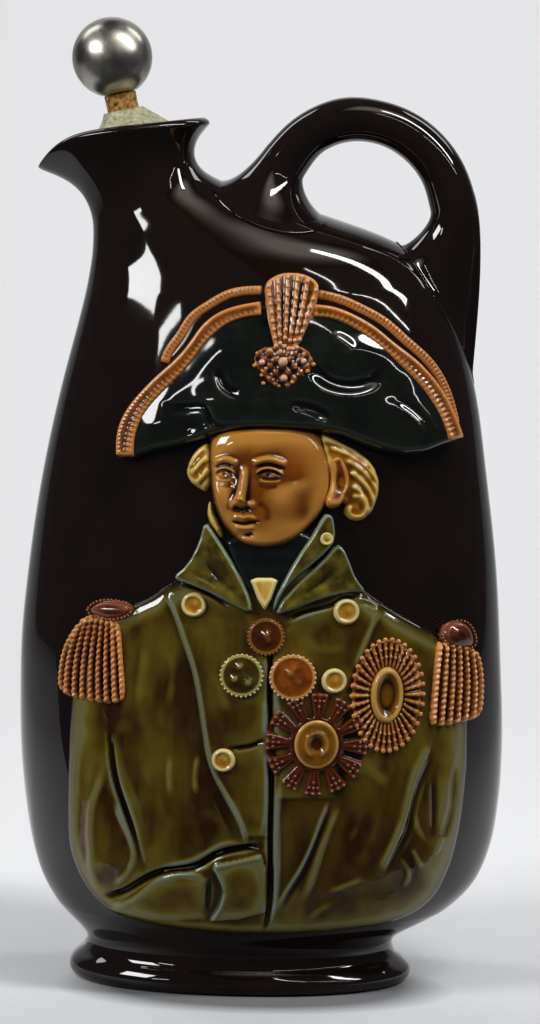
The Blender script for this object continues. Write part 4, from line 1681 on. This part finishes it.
knob_glaze = glazed("pink_brown_glaze_on_knobs", "#d8a888", "#b07048", "#6a3418", "#c08a64",
    3.0, roughness=0.09)
rosette_glaze = glazed("red_brown_glaze_on_rosette", "#8a4c20", "#32160a", "#140804", "#4e260e", 1.6)
relief_piece("strap", STRAP, 0.26, strap_height, braid_glaze, pool_gain=5.0)
relief_piece("rosette", ROSETTE, 0.28, rosette_height, rosette_glaze)
strap_spots = np.concatenate([spaced(row, 1.9, 0.35 + 0.3 * (k % 2)) for k, row in enumerate(STRAP_ROWS)])
bead_piece("strap_beads", strap_spots, 4.8, 0.56, knob_glaze, 0.9)
dice = np.random.default_rng(4)
turns = np.arange(ROSETTE_BEADS) * BEAD_TURN
reach = np.sqrt(np.linspace(0.14, 1.0, ROSETTE_BEADS))
spread = np.stack([7.2 * reach * np.cos(turns), -1.0 + 5.3 * reach * np.sin(turns)], 1)
rosette_spots = ROSETTE_CENTRE + spread
bead_piece("rosette_beads", rosette_spots, 4.9 - 0.6 * reach, dice.uniform(0.32, 0.62, ROSETTE_BEADS),
    bead_glaze, 0.9)
knobs = on_body(((283, 362), (262, 362), (304, 361), (284, 378), (270, 350)), 5.4)
bead_piece("rosette_knobs", knobs, (5.6, 5.0, 5.0, 4.9, 4.9), (1.2, 0.8, 0.75, 0.9, 0.6), knob_glaze, 0.8)

# %% [markdown]
# Fringed epaulettes sit on both shoulders: a round cap with a beaded rim, and a fringe of cords, each
# twisted from two strands. The twist is a wave that runs slantwise along each cord.

# %% Epaulettes
LEFT_FRINGE = edge_on_body(((70, 622), (80, 615), (93, 614), (105, 617), (118, 621), (120, 656), (124, 701),
    (112, 705), (95, 704), (78, 700), (64, 697), (54, 689), (56, 662), (62, 640)), 3.4)
RIGHT_FRINGE = edge_on_body(((440, 641), (452, 643), (465, 644), (478, 646), (485, 657), (488, 688),
    (485, 718), (471, 722), (456, 726), (441, 728), (431, 725), (434, 690), (437, 662)), 3.4)
LEFT_CORDS = [line_on_body(spots, 3.4) for spots in zip(
    zip(np.linspace(76, 116, 9), (626, 620, 617, 616, 616, 617, 618, 620, 622)),
    zip(np.linspace(60.5, 119, 9), (655, 656, 657, 658, 658, 658, 658, 658, 658)),
    zip(np.linspace(56, 121.5, 9), (690, 696, 700, 702, 703, 704, 704, 703, 701)))]
RIGHT_CORDS = [line_on_body(spots, 3.4) for spots in zip(
    zip(np.linspace(443, 480, 7), (643, 644, 645, 646, 648, 650, 653)),
    zip(np.linspace(438.5, 485, 7), (680, 685, 687, 687, 687, 686, 684)),
    zip(np.linspace(435, 483, 7), (724, 727, 726, 724, 722, 720, 718)))]
TWIST, TWIST_RISE, CORD_RISE = 1.35, 0.32, 2.35
LEFT_CAP = edge_on_body(((84, 612), (88, 605), (98, 600), (112, 600), (126, 603), (131, 609), (127, 616),
    (113, 620), (97, 619)), 4.0)
RIGHT_CAP = edge_on_body(((444, 638), (447, 628), (454, 622), (465, 620), (474, 625), (479, 636), (479, 646),
    (468, 650), (454, 648)), 4.0)


def fringe_height(x, z, outline, cords):
    """Height of a fringe: round cords side by side, each with a twist."""
    cord_rise = np.zeros(x.shape)
    for cord in cords:
        off, side, along = along_line(x, z, cord, 1.6)
        length = np.linalg.norm(np.diff(cord, axis=0), axis=1).sum()
        slant = np.cos(2 * math.pi * (along * length / TWIST + side * off / 2.2))
        half = 0.60 + 0.30 * np.clip(along, 0, 1) ** 0.7
        rise = (CORD_RISE + TWIST_RISE * slant) * np.sqrt(np.clip(1 - (off / half) ** 2, 0, 1))
        cord_rise = np.maximum(cord_rise, rise)
    return plate(1.1 + cord_rise, depth_inside(x, z, outline) + 0.3, 1.2)


def cap_height(x, z, outline):
    """A domed cap."""
    depth = depth_inside(x, z, outline)
    return plate(3.0 + 1.1 * eased(depth / 2.6), depth + 0.2, 1.0)


fringe_glaze = glazed("red_brown_glaze_on_fringe", "#de9a58", "#924812", "#120603", "#6e320c", 3.0)
cap_glaze = glazed("dark_red_brown_glaze_on_caps", "#8a5038", "#32120a", "#140604", "#4c1e10", 3.0)
cap_bead_glaze = glazed("red_brown_glaze_on_cap_beads", "#8a4c26", "#6a3216", "#2a1006", "#5a2a10", 2.0)
for side, fringe, cords, cap in (("left", LEFT_FRINGE, LEFT_CORDS, LEFT_CAP),
        ("right", RIGHT_FRINGE, RIGHT_CORDS, RIGHT_CAP)):
    relief_piece("fringe_" + side, fringe, 0.2, lambda x, z: fringe_height(x, z, fringe, cords), fringe_glaze,
        edge_mm=0.9, edge_gain=1.1, pool_gain=2.2, pool_mm=0.8)
    relief_piece("cap_" + side, cap, 0.28, lambda x, z: cap_height(x, z, cap), cap_glaze, edge_gain=2.5)
    rim = np.concatenate([cap, cap[:1]])
    bead_piece("cap_beads_" + side, spaced(smooth_line(rim, 90), 0.85), 3.1, 0.36, cap_bead_glaze)

# %% [markdown]
# Two stars and three medals hang on the chest, and five buttons close the coat. A star is a ring of rays
# round a domed middle. A medal is a dish inside a beaded rim. Each is drawn by its distance from its own
# middle, as a share of its half width and half height, and by the angle round it.

# %% Stars, medals and buttons
def round_piece(name, centre_px, half_px, height, shape, finish, pitch=0.24, edge_gain=4.5,
        pool_gain=3.4, seat=None):
    """A round piece of relief: shape takes the share of the way out and the angle, and gives its rise.

    It stands on the coat, so its rise starts from the coat's height under it.
    """
    centre, half = middle_on_body(centre_px, height), np.array(half_px) * PIXEL
    turns = np.linspace(0, 2 * math.pi, 41)[:-1]
    edge = centre + half * np.stack([np.cos(turns), np.sin(turns)], 1)
    seat = seat_height(centre_px, half_px) if seat is None else seat

    def raised(x, z):
        run, rise = (x - centre[0]) / half[0], (z - centre[1]) / half[1]
        out, turn = np.hypot(run, rise), np.arctan2(rise, run)
        depth = (1 - out) * min(half)
        return plate(seat + shape(out, turn), depth + 0.2, 0.6)

    relief_piece(name, edge, pitch, raised, finish, pool_mm=0.9, edge_gain=edge_gain, pool_gain=pool_gain)


def seat_height(centre_px, half_px):
    """The coat's usual height under a round piece, in millimetres."""
    rings = [ring_spots(centre_px, np.array(half_px) * share, 12, 2.5) for share in (0.1, 0.5, 0.9)]
    return float(np.quantile(coat_height(*np.concatenate(rings).T), 0.7))


def ring_spots(centre_px, half_px, count, height, start=0.0):
    """Spots evenly round an ellipse, as (x, z)."""
    centre, half = middle_on_body(centre_px, height), np.array(half_px) * PIXEL
    turns = start + np.arange(count) * 2 * math.pi / count
    return centre + half * np.stack([np.cos(turns), np.sin(turns)], 1)


def ring(out, where, width):
    """A round ridge at this share of the way out, 1 on its crest."""
    return 0.5 + 0.5 * np.cos(math.pi * np.clip(np.abs(out - where) / width, 0, 1))


def blob(out, turn, at, size):
    """A soft lump on a round piece, at a place given in shares of its half width, across and up."""
    return np.exp(-((out * np.cos(turn) - at[0]) ** 2 + (out * np.sin(turn) - at[1]) ** 2) / size**2)


TALL_RAYS, ROUND_PETALS, FAN_START = 34, 12, 0.6


def tall_star_shape(out, turn):
    """Thin rays with dark gaps, out to the edge."""
    rays = (0.5 + 0.5 * np.cos(TALL_RAYS * turn)) ** 0.8 * eased((out - 0.44) / 0.12)
    return 0.1 + 0.95 * rays - 0.12 * eased((out - 0.6) / 0.3)


def round_star_shape(out, turn):
    """Fans of three strands with gaps between them, down to the coat."""
    fan_turn = ROUND_PETALS * turn + FAN_START
    fans = eased((np.cos(fan_turn) + 0.2 + 0.6 * out) / 0.4)
    strands = 0.14 * np.cos(3 * fan_turn) * eased((out - 0.5) / 0.1)
    return -0.35 + (0.85 + strands) * np.maximum(fans, eased((0.56 - out) / 0.05))


def medal_shape(blobs):
    """A dish inside a round rim, with a few lumps of relief in it."""
    def shape(out, turn):
        lumps = sum(rise * blob(out, turn, (across, up), size) for across, up, size, rise in blobs)
        return 0.5 + 0.3 * ring(out, 0.9, 0.16) + lumps
    return shape


def button_shape(out, turn):
    """A low dome inside a thick rim."""
    return 0.55 + 0.5 * ring(out, 0.76, 0.26) + 0.3 * blob(out, turn, (0.15, 0.1), 0.35)


def oval_ring_shape(out, turn):
    """A thick oval ring round a low, smooth field."""
    return 0.75 + 0.75 * ring(out, 0.82, 0.26) - 0.35 * eased((0.62 - out) / 0.2)


def open_ring_shape(out, turn):
    """A smooth disc with a ring on it, open at the foot, round a deep middle."""
    foot = np.exp(-((turn + math.pi / 2) / 0.45) ** 2)
    open_ring = 0.45 * ring(out, 0.46, 0.17) * (1 - foot)
    return 0.75 + 0.2 * eased((1 - out) / 0.3) + open_ring - 0.55 * eased((0.36 - out) / 0.2)


star_glaze = glazed("red_brown_glaze_on_star", "#b87834", "#5e2a0a", "#150704", "#482008", 3.0)
fan_glaze = glazed("dark_red_brown_glaze_on_fans", "#623012", "#381606", "#120604", "#48200a", 2.0)
fan_bead_glaze = glazed("pink_brown_glaze_on_fan_beads", "#8e5c42", "#5c3422", "#3c1c14", "#6c3e2a",
    2.0, roughness=0.1)
gold_glaze = glazed("ochre_glaze_on_badges", "#c69a4e", "#84540c", "#241005", "#6a420c", 3.0)
button_glaze = glazed("cream_glaze_on_buttons", "#dccb86", "#a0701c", "#4a2a08", "#b88c34", 2.5)
cream_glaze = glazed("cream_glaze_on_medal_beads", "#c9c2a2", "#8f7f52", "#3c2c10", "#a08c58",
    2.0, roughness=0.1)
MEDALS = (
    ("medal_top", (266, 637), 18.0, ("#8e5a20", "#3c1a08", "#1c0c06", "#54280c"), ((0.0, 0.1, 0.24, 0.9),
     (0.15, -0.2, 0.2, 0.6))),
    ("medal_left", (241.5, 676), 21.0, ("#a8a04e", "#362c08", "#120d05", "#4a3c0c"),
     ((-0.1, 0.42, 0.17, 0.85), (-0.3, -0.15, 0.2, 0.85), (0.3, -0.3, 0.24, 0.9), (0.05, 0.05, 0.2, 0.3))),
    ("medal_right", (293, 678), 22.5, ("#cc8e44", "#8a480e", "#4a1e06", "#5e2c0a"), ((-0.1, 0.2, 0.24, 0.9),
     (0.25, -0.15, 0.26, 0.6), (-0.3, -0.35, 0.28, 0.45), (0.1, 0.45, 0.18, 0.4))))
BUTTONS = {"button_1": ((193, 605), 12.5), "button_2": ((347.5, 612), 13), "button_3": ((327, 539), 7.3),
    "button_4": ((335, 681.5), 12.7), "button_5": ((223, 761), 12)}
TALL_STAR, ROUND_STAR = ((388.4, 695.6), (34, 54)), ((316.7, 745), (49, 50))
print("drawn: 2 stars,", len(MEDALS), "medals and", len(BUTTONS), "buttons")

# %% Stars
round_piece("tall_star", *TALL_STAR, 3.0, tall_star_shape, star_glaze, pool_gain=4.5)
round_piece("tall_star_ring", TALL_STAR[0], (15.8, 28), 3.2, oval_ring_shape, gold_glaze, pool_gain=5.0)
star_seat = seat_height(*TALL_STAR)
for reach, size, rise in ((0.99, 0.62, 0.75), (0.83, 0.42, 0.95), (0.69, 0.36, 1.0)):
    spots = ring_spots(TALL_STAR[0], np.array(TALL_STAR[1]) * reach, TALL_RAYS, 3.0)
    bead_piece("tall_star_beads_" + str(int(100 * reach)), spots, star_seat + rise, size, bead_glaze)
round_piece("round_star", *ROUND_STAR, 3.0, round_star_shape, fan_glaze, pitch=0.2)
round_piece("round_star_disc", ROUND_STAR[0], (22, 24.5), 3.2, open_ring_shape, gold_glaze, edge_gain=2.2)
first_fan = -FAN_START / ROUND_PETALS
fan_seat = seat_height(*ROUND_STAR) + 0.5
for reach, turns, size in ((0.95, (-0.13, 0.0, 0.13), 0.42), (0.84, (-0.1, 0.0, 0.1), 0.36),
        (0.73, (0.0,), 0.36)):
    half = np.array(ROUND_STAR[1]) * reach
    spots = [ring_spots(ROUND_STAR[0], half, ROUND_PETALS, 3.0, first_fan + turn) for turn in turns]
    bead_piece("round_star_beads_" + str(int(100 * reach)), np.concatenate(spots), fan_seat,
        size, fan_bead_glaze)

# %% Medals and buttons
for name, centre, half, (thin, flat, pooled, mottle), blobs in MEDALS:
    finish = glazed("glaze_on_" + name, thin, flat, pooled, mottle, 2.5)
    round_piece(name, centre, (half, half), 3.0, medal_shape(blobs), finish, edge_gain=2.4)
    bead_finish = cap_bead_glaze if name == "medal_top" else cream_glaze
    bead_piece(name + "_beads", ring_spots(centre, (half * 0.95, half * 0.95), 28, 3.2),
        seat_height(centre, (half, half)) + 0.6, 0.32, bead_finish)
for name, (centre, half) in BUTTONS.items():
    height, seat = (4.4, 3.9) if name == "button_3" else (3.2, None)
    round_piece(name, centre, (half, half), height, button_shape, button_glaze, edge_gain=3.0, seat=seat)
